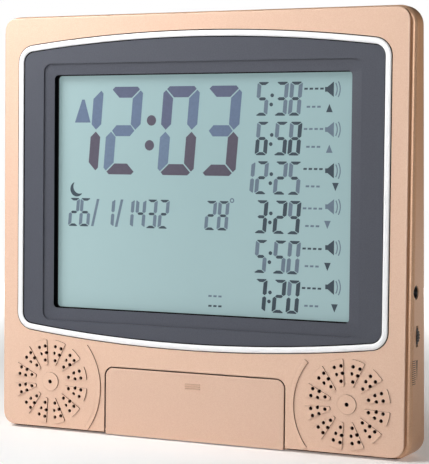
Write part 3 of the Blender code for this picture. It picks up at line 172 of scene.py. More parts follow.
def carried_out(obj):
    """Mesh of an object with its modifiers, or its curve's thickness, carried out."""
    bpy.context.view_layer.update()
    graph = bpy.context.evaluated_depsgraph_get()
    return bpy.data.meshes.new_from_object(obj.evaluated_get(graph))


def shaped(obj, *steps):
    """Cut from a solid, or add to it, one shape after another."""
    tools = []
    for kind, shape in steps:
        tool = solid(obj.name + "_tool", shape)
        step = obj.modifiers.new("shape", "BOOLEAN")
        step.operation = kind
        step.object = tool
        tools.append(tool)
    result = carried_out(obj)
    obj.modifiers.clear()
    old = obj.data
    obj.data = result
    bpy.data.meshes.remove(old)
    for tool in tools:
        bpy.data.objects.remove(tool, do_unlink=True)


def fitted(obj, finish, body="case", nodes=(), angle=32, even=True):
    """Hand a solid to the clock: finish, shading, the body that it moves with and the
    plain solids that it stands for."""
    obj.data.materials.clear()
    obj.data.materials.append(finish)
    obj.data.shade_smooth()
    obj.data.set_sharp_from_angle(angle=math.radians(angle))
    if even:
        shading = obj.modifiers.new("even_shading", "WEIGHTED_NORMAL")
        shading.keep_sharp = True
        shading.weight = 100
    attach(obj, body)
    if nodes:
        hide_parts(*nodes)


def new_finish(name, roughness, metallic=0.0, coat=0.0, coat_roughness=0.2, specular=0.5):
    """Material with its shader's plain numbers set, and its node tree."""
    finish = bpy.data.materials.new(name)
    finish.use_nodes = True
    tree = finish.node_tree
    shader = tree.nodes["Principled BSDF"]
    shader.inputs["Roughness"].default_value = roughness
    shader.inputs["Metallic"].default_value = metallic
    shader.inputs["Coat Weight"].default_value = coat
    shader.inputs["Coat Roughness"].default_value = coat_roughness
    shader.inputs["Specular IOR Level"].default_value = specular
    return finish, tree, shader


def grain(tree, scale, detail=3.0, stretch=(1, 1, 1), kind="ShaderNodeTexNoise"):
    """Pattern through the body of a piece, in its own metres."""
    place = tree.nodes.new("ShaderNodeTexCoord")
    turn = tree.nodes.new("ShaderNodeMapping")
    turn.inputs["Scale"].default_value = stretch
    pattern = tree.nodes.new(kind)
    if "Scale" in pattern.inputs:
        pattern.inputs["Scale"].default_value = scale
    if kind == "ShaderNodeTexNoise":
        pattern.inputs["Detail"].default_value = detail
    tree.links.new(place.outputs["Object"], turn.inputs["Vector"])
    tree.links.new(turn.outputs["Vector"], pattern.inputs["Vector"])
    return pattern


def tint(tree, shader, pattern, dark, light, low=0.35, high=0.65, output="Fac",
         socket="Base Color"):
    """Colour between two shades along a pattern."""
    ramp = tree.nodes.new("ShaderNodeValToRGB")
    ramp.color_ramp.elements[0].position = low
    ramp.color_ramp.elements[1].position = high
    ramp.color_ramp.elements[0].color = (*dark, 1)
    ramp.color_ramp.elements[1].color = (*light, 1)
    tree.links.new(pattern.outputs[output], ramp.inputs["Fac"])
    tree.links.new(ramp.outputs["Color"], shader.inputs[socket])


def emboss(tree, shader, pattern, depth, strength):
    """Fine relief from a pattern."""
    relief = tree.nodes.new("ShaderNodeBump")
    relief.inputs["Strength"].default_value = strength
    relief.inputs["Distance"].default_value = depth
    tree.links.new(pattern.outputs["Fac"], relief.inputs["Height"])
    tree.links.new(relief.outputs["Normal"], shader.inputs["Normal"])


def srgb(code):
    """Linear colour from a six-digit colour code."""
    parts = [int(code[start:start + 2], 16) / 255 for start in (0, 2, 4)]
    return tuple(part / 12.92 if part <= 0.04045 else ((part + 0.055) / 1.055) ** 2.4
                 for part in parts)


def mottled(name, dark, light, roughness, flake=(1400, 2.0), skin=(900, 4.0), depth=0.02 * mm,
            strength=0.15, **more):
    """Finish with a fine mottling in its colour and the faint relief of a moulded skin."""
    finish, tree, shader = new_finish(name, roughness, **more)
    tint(tree, shader, grain(tree, *flake), srgb(dark), srgb(light))
    emboss(tree, shader, grain(tree, *skin), depth, strength)
    return finish


def foot_blocks(half, low, high, rear_inset, front_inset, corner=0.0, steps=8):
    """The same block in the back for each of the two feet."""
    return together([thicken(card(side * foot_offset - half, side * foot_offset + half, low, high,
                                  corner, steps), rear_inset=rear_inset, front_inset=front_inset)
                     for side in (-1, 1)])


rear_finish = mottled("rear_plastic", "DDAF8C", "E4B998", 0.34, metallic=0.15, specular=0.2)
rear_block = thicken(card(-case_width / 2, case_width / 2, 0, case_height, case_corner, 12,
                          rim_front),
                     rear_inset=0.0, front_round=rim_round, back_round=rear_round, rounds=5)
rear = solid("rear_shell", rear_block)
hollow = thicken(card(wall - case_width / 2, case_width / 2 - wall, wall, case_height - wall,
                      case_corner - wall, 8, rim_front - mm), rear_inset=wall)
bay_shell = thicken(card(-bay_half - bay_seat - bay_wall, bay_half + bay_seat + bay_wall, wall / 2,
                         bay_high + bay_seat + bay_wall, depth=bay_floor - 0.8 * mm),
                    rear_inset=wall / 2)
foot_pans = foot_blocks(foot_half + foot_gap + pan_wall, wall / 2, foot_top + foot_gap + pan_wall,
                        wall / 2, pan_depth)
finger_pans = foot_blocks(finger_half + pan_wall, foot_top, foot_top + finger_rise + pan_wall,
                          wall / 2, pan_depth)
bosses = together([thicken(disc(place, boss_radius, 24, 7.3 * mm), rear_inset=wall / 2)
                   for place in screw_places])
bay = thicken(card(-bay_half, bay_half, bay_low, bay_high, depth=bay_floor), rear_inset=-mm)
lid_seat = thicken(card(-bay_half - bay_seat, bay_half + bay_seat, bay_low - bay_seat / 2,
                        bay_high + bay_seat, 1 * mm, 4), rear_inset=-mm, front_inset=1.95 * mm)
foot_wells = foot_blocks(foot_half + foot_gap, -mm, foot_top + foot_gap, -mm, 3.1 * mm)
finger_wells = foot_blocks(finger_half, foot_top - mm, foot_top + finger_rise, -mm, 2.8 * mm,
                           2 * mm, 5)
bores = together([bar((x, 6 * mm, z), (x, 10.5 * mm, z), bore_radius, 16)
                  for x, z in screw_places])
screw_wells = together([bar((x, 9.5 * mm, z), (x, 27 * mm, z), head_radius)
                        for x, z in screw_places])
door_notch = thicken(card(-52.9 * mm, 52.9 * mm, -mm, wall + mm), back=4.9 * mm)
inlet_hole = side_bar(side_inner, side_outer, 3.6 * mm, 48)
wheel_slot = thicken(card(side_inner, side_outer, wheel_height - 5.4 * mm,
                          wheel_height + 5.4 * mm, depth=8.3 * mm), back=11.7 * mm)
wheel_relief = thicken(card(side_inner, 119.2 * mm, wheel_height - 8.3 * mm,
                            wheel_height + 8.3 * mm, depth=8 * mm), back=12 * mm)
hanger = thicken(disc((0, hang_height), 4.5 * mm, 48, hang_floor), rear_inset=-mm)
hanger_slot = thicken(card(-2.4 * mm, 2.4 * mm, hang_height, hang_height + 10 * mm, 2.39 * mm, 10,
                           hang_floor), rear_inset=-mm)
shaped(rear, (minus, hollow), (plus, bay_shell), (plus, foot_pans), (plus, finger_pans),
       (plus, bosses), (minus, bay), (minus, lid_seat), (minus, foot_wells),
       (minus, finger_wells), (minus, bores), (minus, screw_wells), (minus, door_notch),
       (minus, inlet_hole), (minus, wheel_slot), (minus, wheel_relief), (minus, hanger),
       (minus, hanger_slot))
fitted(rear, rear_finish, nodes=("rear_case",))
# Painted shade: faces at the very foot of the rim's front take a dark brown for the shade where the
# case meets the floor.
rear.data.materials.append(mottled("painted_foot_shade", "3A1D10", "4A2718", 0.7, specular=0.1))
for part in rear.data.polygons:
    if part.center.z < mm and part.center.y < face + rim_front + rim_round:
        part.material_index = 1

# Front case: the cover that carries the display surround, the speaker grilles and the
# key well. Warm beige plastic with a pearly sheen, its front edge rounded all round. The
# walls of its openings and gaps are painted near black and dull as shade, and its outer
# side walls a lighter brown as the shade in the groove by the rear rim.
front_thickness, front_round = 2.6 * mm, 0.6 * mm
side_ledge, top_ledge, foot_ledge = 2.8 * mm, 1 * mm, 1.4 * mm
cover_corner = case_corner - side_ledge
lip_half, lip_low, lip_high, lip_wall = 117.5 * mm, 2.5 * mm, 224.5 * mm, 1.8 * mm
surround_half, surround_corner, surround_sweep = 108.2 * mm, 9.5 * mm, 825 * mm
surround_low, surround_high = 48.7 * mm, 217 * mm
door_half, door_top, door_corner = 52.3 * mm, 36.5 * mm, 4.5 * mm
mouth_gap, well_gap, well_wall, well_top = 0.8 * mm, 0.6 * mm, 1.5 * mm, 36.9 * mm
well_half = door_half + well_gap
hinge_depth, hinge_height = 1.5 * mm, 2.9 * mm
key_half, key_rise, key_base = 7 * mm, 3 * mm, 7.2 * mm
key_spots = [(name, x * mm, z * mm)
             for z, row in ((25.5, ("key_mode", "key_set", "key_up", "key_down")),
                            (13.5, ("key_alarm", "key_light", "key_city", "key_volume")))
             for x, name in zip((-36, -12, 12, 36), row)]
left_speaker, right_speaker = (-86.9 * mm, 26.6 * mm), (86.9 * mm, 26.6 * mm)
group_axes = [math.radians(15 + 30 * group) for group in range(12)]
# The second colour is the near-black brown painted as shade in the holes, gaps and recesses of the
# front case and the key door.
pearl, recess_shade = ("E9C1A7", "EFCAB2"), "44190A"
edge_shade_start, edge_band = 0.45 * mm, 0.4 * mm


def pearly(name, dark, light, roughness=0.4, metallic=0.15, coat=0.25, coat_roughness=0.25):
    """Beige plastic with the fine pearl that the front of the clock shares."""
    return mottled(name, dark, light, roughness, (2600, 1.0), (1300, 2.0), 0.01 * mm, 0.12,
                   metallic=metallic, coat=coat, coat_roughness=coat_roughness)


def shade_below(finish, start, full, colour, back=None, fade=0.5 * mm):
    """Painted shade: a dark, dull colour without coat or sheen past a depth behind the front face,
    where holes, gaps and recesses lie in shade, and up to a second depth if there is one."""
    tree = finish.node_tree
    shader = tree.nodes["Principled BSDF"]
    place, parts = tree.nodes.new("ShaderNodeTexCoord"), tree.nodes.new("ShaderNodeSeparateXYZ")
    tree.links.new(place.outputs["Object"], parts.inputs[0])
    amount = tree.nodes.new("ShaderNodeValToRGB")
    depths = [(start, 0), (full, 1)] + ([(back - fade, 1), (back, 0)] if back else [])
    reach = tree.nodes.new("ShaderNodeMapRange")
    reach.inputs["From Min"].default_value = face + start
    reach.inputs["From Max"].default_value = face + depths[-1][0]
    tree.links.new(parts.outputs["Y"], reach.inputs["Value"])
    tree.links.new(reach.outputs["Result"], amount.inputs["Fac"])
    marks = amount.color_ramp.elements
    while len(marks) < len(depths):
        marks.new(0.5)
    for mark, (depth, value) in zip(marks, depths):
        mark.position = (depth - start) / (depths[-1][0] - start)
        mark.color = (value, value, value, 1)
    blend = tree.nodes.new("ShaderNodeMix")
    blend.data_type = "RGBA"
    painted = shader.inputs["Base Color"].links[0].from_socket
    tree.links.new(amount.outputs["Color"], blend.inputs["Factor"])
    tree.links.new(painted, blend.inputs[6])
    blend.inputs[7].default_value = (*srgb(colour), 1)
    tree.links.new(blend.outputs[2], shader.inputs["Base Color"])
    for name in ("Coat Weight", "Specular IOR Level"):
        shine = tree.nodes.new("ShaderNodeMix")
        shine.inputs["A"].default_value, shine.inputs["B"].default_value = (
            shader.inputs[name].default_value, 0)
        tree.links.new(amount.outputs["Color"], shine.inputs["Factor"])
        tree.links.new(shine.outputs["Result"], shader.inputs[name])


def arc(centre, radius, start, end, steps):
    """Points along an arc, both ends included."""
    turns = [start + (end - start) * number / steps for number in range(steps + 1)]
    return [(centre[0] + radius * math.cos(turn), centre[1] + radius * math.sin(turn))
            for turn in turns]


def flat_face(points, depth):
    """Upright flat face from its corner points, at a depth behind the front face."""
    shape = bmesh.new()
    shape.faces.new([shape.verts.new((x, face + depth, z)) for x, z in points])
    return shape


def surround_face(offset, depth):
    """Outline of the display surround, grown by an offset: straight sides, a top and a
    bottom that sweep in a shallow arc, and rounded corners."""
    half, corner = surround_half + offset, surround_corner + offset
    sweep = surround_sweep + offset
    rise = math.sqrt((sweep - corner) ** 2 - (half - corner) ** 2)
    lean = math.atan2(rise, half - corner)
    low, high = surround_low + surround_sweep, surround_high - surround_sweep
    points = arc((half - corner, high + rise), corner, 0, lean, 12)
    points += arc((0, high), sweep, lean, math.pi - lean, 60)[1:-1]
    points += arc((corner - half, high + rise), corner, math.pi - lean, math.pi, 12)
    points += arc((corner - half, low - rise), corner, math.pi, math.pi + lean, 12)
    points += arc((0, low), sweep, math.pi + lean, math.tau - lean, 60)[1:-1]
    points += arc((half - corner, low - rise), corner, -lean, 0, 12)
    return flat_face(points, depth)


def door_face(grow, bottom, depth):
    """Outline of the key door, grown by a gap: round top corners and a square foot."""
    half, corner, top = door_half + grow, door_corner + grow, door_top + grow
    shape = card(-half, half, bottom, top, depth=depth)
    upper = [vert for vert in shape.verts if vert.co.z > bottom + corner]
    rounded(shape, upper, corner, 10, "VERTICES")
    return shape


def door_bar(half, radius):
    """Round bar on the key door's hinge line."""
    return bar((-half, hinge_depth, hinge_height), (half, hinge_depth, hinge_height), radius, 24)


def key_face(x, z, grow, corner, steps, depth):
    """Outline of a key round its middle, grown by a margin."""
    half, rise = key_half + grow, key_rise + grow
    return card(x - half, x + half, z - rise, z + rise, corner, steps, depth)


def sound_holes(centre, front, back):
    """Sound holes: twelve groups of five round one in the middle."""
    spots = [(centre, 1.1 * mm)]
    for axis in group_axes:
        for radius, spread in ((12.1, 0), (16, 5.9), (19.7, 5.5)):
            for turn in ({0} if spread == 0 else {-spread, spread}):
                angle = axis + math.radians(turn)
                spots.append(((centre[0] + radius * mm * math.cos(angle),
                               centre[1] + radius * mm * math.sin(angle)), 0.95 * mm))
    return together([thicken(disc(spot, radius, 18, front), back=back) for spot, radius in spots])


front_finish = pearly("front_plastic", *pearl)
# Painted shade: from 0.1 mm deep the front case turns near black and dull, in its holes, gaps and
# the walls of the key well. Its paint comes back at the well's floor.
shade_below(front_finish, 0.1 * mm, 0.5 * mm, recess_shade, 4.9 * mm, 0.1 * mm)
# Its outer side walls take a copy whose painted shade is a lighter brown from 0.45 mm deep, for the
# shade in the groove by the rear rim.
edge_shade_finish = front_finish.copy()
edge_shade_finish.name = "front_edge_shade"
for node in edge_shade_finish.node_tree.nodes:
    if node.type == "MIX" and node.data_type == "RGBA":
        node.inputs[7].default_value = (*srgb("C69A7A"), 1)
    elif node.type == "MAP_RANGE":
        node.inputs["From Min"].default_value = face + edge_shade_start
cover = thicken(card(side_ledge - case_width / 2, case_width / 2 - side_ledge, foot_ledge,
                     case_height - top_ledge, cover_corner, 12),
                back=front_thickness, front_round=front_round, rounds=5)
front = solid("front_shell", cover)
lip = thicken(card(-lip_half, lip_half, lip_low, lip_high, 7 * mm, 8, 2.5 * mm), back=6 * mm)
lip_inside = thicken(card(lip_wall - lip_half, lip_half - lip_wall, lip_low + lip_wall,
                          lip_high - lip_wall, 5.2 * mm, 8, front_thickness), back=7 * mm)
lip_gap = thicken(card(-54.2 * mm, 54.2 * mm, -mm, 4.9 * mm, depth=front_thickness), back=9.5 * mm)
lip_inlet = thicken(card(111 * mm, 120 * mm, inlet_height - 4.8 * mm, inlet_height + 4.8 * mm,
                         depth=2.9 * mm), back=9.5 * mm)
display_hole = thicken(surround_face(0.3 * mm, -mm), back=3.6 * mm)
well = thicken(card(-well_half - well_wall, well_half + well_wall, 2.5 * mm, well_top + well_wall,
                    depth=1.6 * mm), back=8.8 * mm)
cheeks = together([thicken(card(*sorted((side * well_half, side * (well_half + 4.5 * mm))),
                                2.5 * mm, 7.5 * mm, depth=1.6 * mm), back=4.2 * mm)
                   for side in (-1, 1)])
door_hole = thicken(door_face(mouth_gap, -mm, -mm), back=2.9 * mm)
well_front = thicken(card(-well_half, well_half, 6.1 * mm, well_top, depth=2.6 * mm), back=5 * mm)
well_foot = thicken(card(-well_half, well_half, -mm, 4.9 * mm, depth=-mm), back=5 * mm)
well_rear = thicken(card(-well_half, well_half, -mm, well_top, depth=6.2 * mm), back=9.8 * mm)
key_holes = together([thicken(key_face(x, z, 0.3 * mm, 1.9 * mm, 6, 4 * mm), back=key_base)
                      for _, x, z in key_spots]
                     + [thicken(card(-5 * mm, 5 * mm, 30.3 * mm, 34.9 * mm, depth=4 * mm),
                                back=key_base)])
front_bosses = together([bar((x, 1.3 * mm, z), (x, 7 * mm, z), 3.2 * mm) for x, z in screw_places])
pilots = together([bar((x, 2.6 * mm, z), (x, 8 * mm, z), bore_radius, 20)
                   for x, z in screw_places])
shaped(front, (plus, lip), (minus, lip_inside), (minus, lip_gap), (minus, lip_inlet),
       (minus, display_hole), (plus, well), (plus, cheeks), (minus, door_hole),
       (minus, well_front), (minus, well_foot), (minus, well_rear), (minus, key_holes),
       (minus, door_bar(54.8 * mm, 0.8 * mm)), (plus, front_bosses), (minus, pilots),
       (minus, sound_holes(left_speaker, -mm, 3.6 * mm)),
       (minus, sound_holes(right_speaker, -mm, 3.6 * mm)))
fitted(front, front_finish, nodes=("front_case",))
front.data.materials.append(edge_shade_finish)
straight_x = case_width / 2 - case_corner
straight_z = (case_height - top_ledge - foot_ledge) / 2 - cover_corner
middle_z = (case_height - top_ledge + foot_ledge) / 2
# The outer band of faces round the cover takes the lighter painted shade.
for part in front.data.polygons:
    past = Vector((max(abs(part.center.x) - straight_x, 0),
                   max(abs(part.center.z - middle_z) - straight_z, 0)))
    if past.length > cover_corner - edge_band:
        part.material_index = 1

# Speaker grille relief: twelve low wedges and a middle disc stand out round the sound
# holes, and a rounded rib curves past the inner side of each speaker. All one moulding
# with the front case.
relief_height = 0.65 * mm
relief_finish = pearly("relief_plastic", *pearl)
# Painted shade: the walls of the wedges, discs and ribs turn dark brown and dull from just behind
# their top, for the shade at their foot.
shade_below(relief_finish, -0.55 * mm, -0.4 * mm, "4E2410")
for side, centre in (("left", left_speaker), ("right", right_speaker)):
    wedges = []
    for axis in group_axes:
        rim = arc(centre, 23.2 * mm, axis - math.radians(9.2), axis + math.radians(9.2), 6)
        neck = arc(centre, 9.4 * mm, axis + math.radians(5.2), axis - math.radians(5.2), 2)
        shape = flat_face(rim + neck, -relief_height)
        corners = [shape.verts[:][number] for number in (0, 6, 7, 9)]
        rounded(shape, corners, 0.5 * mm, 3, "VERTICES")
        wedges.append(thicken(shape, back=0.3 * mm, front_round=0.18 * mm, rounds=2))
    wedges.append(thicken(disc(centre, 5 * mm, 40, -relief_height), back=0.3 * mm,
                          front_round=0.25 * mm, rounds=3))
    relief = solid("grille_relief_" + side, together(wedges))
    shaped(relief, (minus, sound_holes(centre, -2 * mm, mm)))
    fitted(relief, relief_finish)

    sign = math.copysign(1, centre[0])
    middle = Vector((sign * 92.7 * mm, face + 0.1 * mm, 24.6 * mm))
    first, last = math.radians(39), math.radians(-38)
    rib = card(-1.3 * mm, 1.3 * mm, -0.9 * mm, 0.9 * mm, 0.55 * mm, 5)
    moved(rib, Matrix.Translation(middle + Vector((-sign * 36.1 * mm, 0, 0))) @ upended
          @ Matrix.Translation((0, -face, 0)))
    bmesh.ops.rotate(rib, verts=rib.verts, cent=middle,
                     matrix=Matrix.Rotation(sign * first, 3, "Y"))
    bmesh.ops.spin(rib, geom=rib.faces[:], cent=middle, axis=(0, 1, 0),
                   angle=sign * (last - first), steps=40, use_merge=False)
    bmesh.ops.remove_doubles(rib, verts=rib.verts, dist=0.001 * mm)
    fitted(solid("speaker_rib_" + side, rib), relief_finish, even=False)

# Trim ring: a silver-painted band pressed into the front round the display surround,
# a little proud of the face, with rounded edges.
ring_finish = mottled("silver_paint", "F3F4F7", "FAFAFA", 0.6, (3000, 1.0), (700, 3.0), 0.01 * mm,
                      0.1, metallic=0.2)
# Painted shade: the ring's walls near the face are nearly black and dull for the shade where it
# meets the front case.
shade_below(ring_finish, -0.3 * mm, -0.12 * mm, "221D1C")
ring = solid("silver_ring", thicken(surround_face(0, -0.8 * mm), back=2.6 * mm))
shaped(ring, (minus, thicken(surround_face(-3.5 * mm, -2 * mm), back=3.6 * mm)))
soften = ring.modifiers.new("soften", "BEVEL")
soften.width = 1.3 * mm
soften.segments = 5
soften.limit_method = "ANGLE"
soften.angle_limit = math.radians(60)
fitted(ring, ring_finish, nodes=("trim_ring",), angle=50)

# Display bezel: dark grey plastic inside the ring. A small step leads down to a sloping
# border, and a straight lip drops from there to the display, painted nearly black and
# dull as the shade down in it.
bezel_finish = mottled("bezel_plastic", "444753", "4A4D58", 0.42, (1800, 2.0), strength=0.2)
# Painted shade: past 2.1 mm deep the bezel is nearly black and dull.
shade_below(bezel_finish, 2.1 * mm, 2.4 * mm, "0C0C0E")
recess_z, window_z = (60.6 * mm, 200.8 * mm), (67.3 * mm, 194.7 * mm)
recess_half, window_half = 92.4 * mm, 86.6 * mm
bezel = solid("bezel", thicken(surround_face(-3.8 * mm, 0.2 * mm), back=5.9 * mm))
flange = thicken(surround_face(2 * mm, 2.9 * mm), back=4.4 * mm)
step = thicken(card(-recess_half, recess_half, *recess_z, 4.5 * mm, 10, -mm), back=1.1 * mm)
slope = thicken(card(-recess_half, recess_half, *recess_z, 4.5 * mm, 10, 1.05 * mm),
                end=card(-window_half, window_half, *window_z, 2.4 * mm, 10, 2 * mm))
window = thicken(card(-window_half, window_half, *window_z, 2.4 * mm, 10, 1.9 * mm), back=7 * mm)
shaped(bezel, (plus, flange), (minus, step), (minus, slope), (minus, window))
fitted(bezel, bezel_finish, nodes=("display_bezel",))

# Display panel: a liquid crystal cell in a white holder, pale grey-green where nothing
# shows. It glows faintly of its own as painted light that softens the shade at its
# edges, and a painted light falloff makes it lighter towards its left. A thin dark seal
# runs round it against the back of the bezel, and its black edge just inside the window
# also stands in for the shade along that edge.
glass_front = 6.2 * mm
glass_half, glass_low, glass_high = 89 * mm, 64.9 * mm, 197.1 * mm
panel_finish, tree, shader = new_finish("display_glass", 0.3, coat=0.3, coat_roughness=0.12)
# Painted light falloff: a colour gradient across the panel makes it lighter towards its left.
painted_falloff = grain(tree, 1, kind="ShaderNodeTexGradient", stretch=(-3.2, 1, 2.4))
painted_falloff.gradient_type = "DIAGONAL"
lower_tone, upper_tone = Vector(srgb("A0BDC0")), Vector(srgb("B9D6D7"))
# Part of its colour is a faint painted glow that lightens the shade at its edges, and the rest is
# the reflected share.
reflected, shade_lifting_glow = 0.57, 0.4
tint(tree, shader, painted_falloff, lower_tone, upper_tone, 0.0, 0.45, socket="Emission Color")
tint(tree, shader, painted_falloff, lower_tone * reflected, upper_tone * reflected, 0.0, 0.45)
shader.inputs["Emission Strength"].default_value = shade_lifting_glow
emboss(tree, shader, grain(tree, 2500, 2.0), 0.01 * mm, 0.08)
cell = card(-glass_half, glass_half, glass_low, glass_high, 0.6 * mm, 4, glass_front)
panel = solid("display_panel", thicken(cell, back=glass_front + 2.8 * mm, front_round=0.3 * mm,
                                       rounds=2))
fitted(panel, panel_finish, nodes=("lcd_panel",))
# The seal's black edge just inside the window also stands in for the shade along that edge.
seal_and_shade_finish = mottled("seal_foam_and_shade", "08080A", "101013", 0.85, (900, 2.0), strength=0.3)
seal_face = card(mm - glass_half, glass_half - mm, glass_low + mm, glass_high - mm, 2 * mm, 6,
                 5.85 * mm)
seal_window = card(0.5 * mm - window_half, window_half - 0.5 * mm, window_z[0] + 0.4 * mm,
                   window_z[1] - 0.4 * mm, 2 * mm, 10, 5 * mm)
seal = solid("display_seal", thicken(seal_face, back=6.25 * mm))
shaped(seal, (minus, thicken(seal_window, back=7 * mm)))
fitted(seal, seal_and_shade_finish, even=False)

# Display figures: thin dark shapes in the cell, drawn as slanted strokes with gaps where
# they meet. The lower strokes of the big time are darkest, the upper ones bluer.
ink, ink_back = glass_front - 0.04 * mm, glass_front - 0.01 * mm
tones = {"dark": "585362", "mid": "5C637D", "blue": "647590", "slate": "6A7D96",
         "fine": "3C4A55", "soft": "6B7C8C"}
ink_finishes = {}
for tone, code in tones.items():
    finish, tree, shader = new_finish("figure_" + tone, 0.45, specular=0.3)
    deep = tuple(value * 0.93 for value in srgb(code))
    tint(tree, shader, grain(tree, 500, 2.0), deep, srgb(code))
    ink_finishes[tone] = finish
strokes = {tone: [] for tone in tones}


def stroke(tone, points):
    """One filled shape of the display, its points in millimetres."""
    shape = flat_face([(x * mm, z * mm) for x, z in points], ink)
    strokes[tone].append(thicken(shape, back=ink_back))


def figure(value, left, right, low, high, wide, thick, cut, gap, tone_of, lean=0.08):
    """A seven-stroke figure in a leaning box given at its mid-height. Strokes are named
    a to g, clockwise from the top, with g across the middle."""
    middle = (low + high) / 2
    lit = {"0": "abcdef", "1": "bc", "2": "abdeg", "3": "abcdg", "4": "bcfg", "5": "acdfg",
           "6": "acdefg", "7": "abc", "8": "abcdefg", "9": "abcdfg"}[value]
    top = [(left + cut, high), (right - cut, high),
           (right - (cut + gap) / 2, high - (cut - gap) / 2), (right - wide - gap, high - thick),
           (left + wide + gap, high - thick), (left + (cut + gap) / 2, high - (cut - gap) / 2)]
    upper = [(left, high - cut), (left + (cut - gap) / 2, high - (cut + gap) / 2),
             (left + wide, high - thick - gap), (left + wide, middle + thick / 2 + gap),
             (left + wide / 2, middle + gap), (left, middle + thick / 2 + gap)]
    shapes = {"a": top, "f": upper,
              "g": [(left + wide / 2 + gap, middle), (left + wide, middle + thick / 2),
                    (right - wide, middle + thick / 2), (right - wide / 2 - gap, middle),
                    (right - wide, middle - thick / 2), (left + wide, middle - thick / 2)]}
    shapes["b"] = [(left + right - x, z) for x, z in upper]
    for name, near in (("d", "a"), ("e", "f"), ("c", "b")):
        shapes[name] = [(x, low + high - z) for x, z in shapes[near]]
    for name in lit:
        stroke(tone_of[name], [(x + (z - middle) * lean, z) for x, z in shapes[name]])


def dot(tone, x, z, radius, steps=24):
    """A round spot of the display, in millimetres."""
    stroke(tone, arc((x, z), radius, 0, math.tau, steps)[:-1])


big = {"a": "mid", "b": "blue", "c": "dark", "d": "dark", "e": "slate", "f": "mid", "g": "blue"}
for value, left, right in (("1", -81.4, -59.9), ("2", -56.4, -35.7), ("0", -23.4, -1.9),
                           ("3", 1.6, 22.5)):
    figure(value, left, right, 140.9, 188.1, 6.0, 5.9, 3.5, 0.5, big)
dot("dark", -28.9, 170.0, 2.8)
dot("dark", -30.0, 156.7, 2.8)
small = {"a": "fine", "b": "soft", "c": "soft", "d": "fine", "e": "soft", "f": "soft", "g": "fine"}
bold = {**small, "b": "fine", "c": "fine", "e": "fine"}
time_rows = ((172.3, 189.7, " 538"), (151.9, 169.2, " 658"), (131.7, 148.8, "1225"),
             (111.4, 128.6, " 329"), (90.8, 108.0, " 550"), (70.4, 87.7, " 720"))
for row, (low, high, text) in enumerate(time_rows):
    tone_of = bold if row % 2 else small
    for value, left, right in zip(text, (24.9, 32.3, 42.8, 50.7), (31.6, 39.2, 49.9, 57.6)):
        if value != " ":
            figure(value, left, right, low, high, 2.2, 1.6, 1.0, 0.25, tone_of)
    dot("fine", 41.2, low + 10.5, 1.0, 16)
    dot("fine", 40.7, low + 5.8, 1.0, 16)
for text, lefts, rights in (("26", (-79.5, -72.7), (-73.1, -66.1)), ("1", (-57.4,), (-51.0,)),
                            ("1432", (-45.4, -38.2, -31.5, -24.2), (-39.1, -32.0, -25.2, -18.0)),
                            ("28", (3.5, 10.7), (9.9, 17.1))):
    for value, left, right in zip(text, lefts, rights):
        figure(value, left, right, 112.3, 127.7, 2.0, 1.4, 0.9, 0.25, small)
for x in (-64.8, -50.0):
    stroke("soft", [(x - 0.8, 112.5), (x + 0.8, 112.5), (x + 4.4, 127.4), (x + 2.8, 127.4)])
degree_x, degree_height = 19 * mm, 128.1 * mm
degree = solid("degree_ring", thicken(disc((degree_x, degree_height), 1.3 * mm, 24, ink),
                                      back=ink_back))
shaped(degree, (minus, bar((degree_x, ink - mm, degree_height), (degree_x, ink + mm, degree_height),
                           0.65 * mm, 24)))
fitted(degree, ink_finishes["soft"], even=False)

# Small signs of the display: a crescent over the date, a sound sign beside each time,
# plain pointers that stand up before noon and upside down after it, and short dashes.
def dashes(tone, z, places):
    """A row of short slanted dashes."""
    for x in places:
        stroke(tone, [(x, z), (x + 1.9, z), (x + 2.0, z + 1.0), (x + 0.1, z + 1.0)])


stroke("fine", arc((-74.6, 132.6), 4.1, math.radians(118), math.radians(322), 24)
       + arc((-72.9, 134.0), 3.9, math.radians(290), math.radians(146), 20))
stroke("blue", [(-76.1, 168.9), (-66.3, 168.9), (-70.0, 181.4), (-71.6, 181.4)])
sound_heights = (185.6, 165.2, 144.3, 126.0, 105.2, 85.1)
pointer_feet = ((71.1, 174.0), (71.3, 153.4), (74.9, 134.0), (70.8, 114.6), (71.1, 93.2),
                (75.2, 72.2))
for row, (low, high, _) in enumerate(time_rows):
    x, z = 70.4 + 0.3 * row, sound_heights[row]
    tone = "soft" if row in (1, 3) else "fine"
    stroke(tone, [(x, z - 1.2), (x + 1.3, z - 1.2), (x + 4.8, z - 3.9), (x + 4.8, z + 3.9),
                  (x + 1.3, z + 1.2), (x, z + 1.2)])
    for reach in (6.6, 8.2):
        span = math.radians(29)
        stroke("soft", arc((x, z), reach + 0.3, -span, span, 10)
               + arc((x, z), reach - 0.3, span, -span, 10))
    left, foot = pointer_feet[row]
    foot, tip = (foot, foot + 4.2) if row < 2 else (foot + 4.2, foot)
    stroke(tone, [(left, foot), (left + 3.6, foot), (left + 1.8, tip)])
    dashes(tone, high - 4.2, (59.0, 61.9, 64.8, 67.7))
    dashes("soft", low + 4.0, (60.4, 63.3, 66.2))
dashes("soft", 77.0, (5.8, 8.7, 11.6))
dashes("fine", 71.8, (5.8, 8.7, 11.6))
for tone, shapes in strokes.items():
    fitted(solid("figures_" + tone, together(shapes)), ink_finishes[tone],
           even=False)

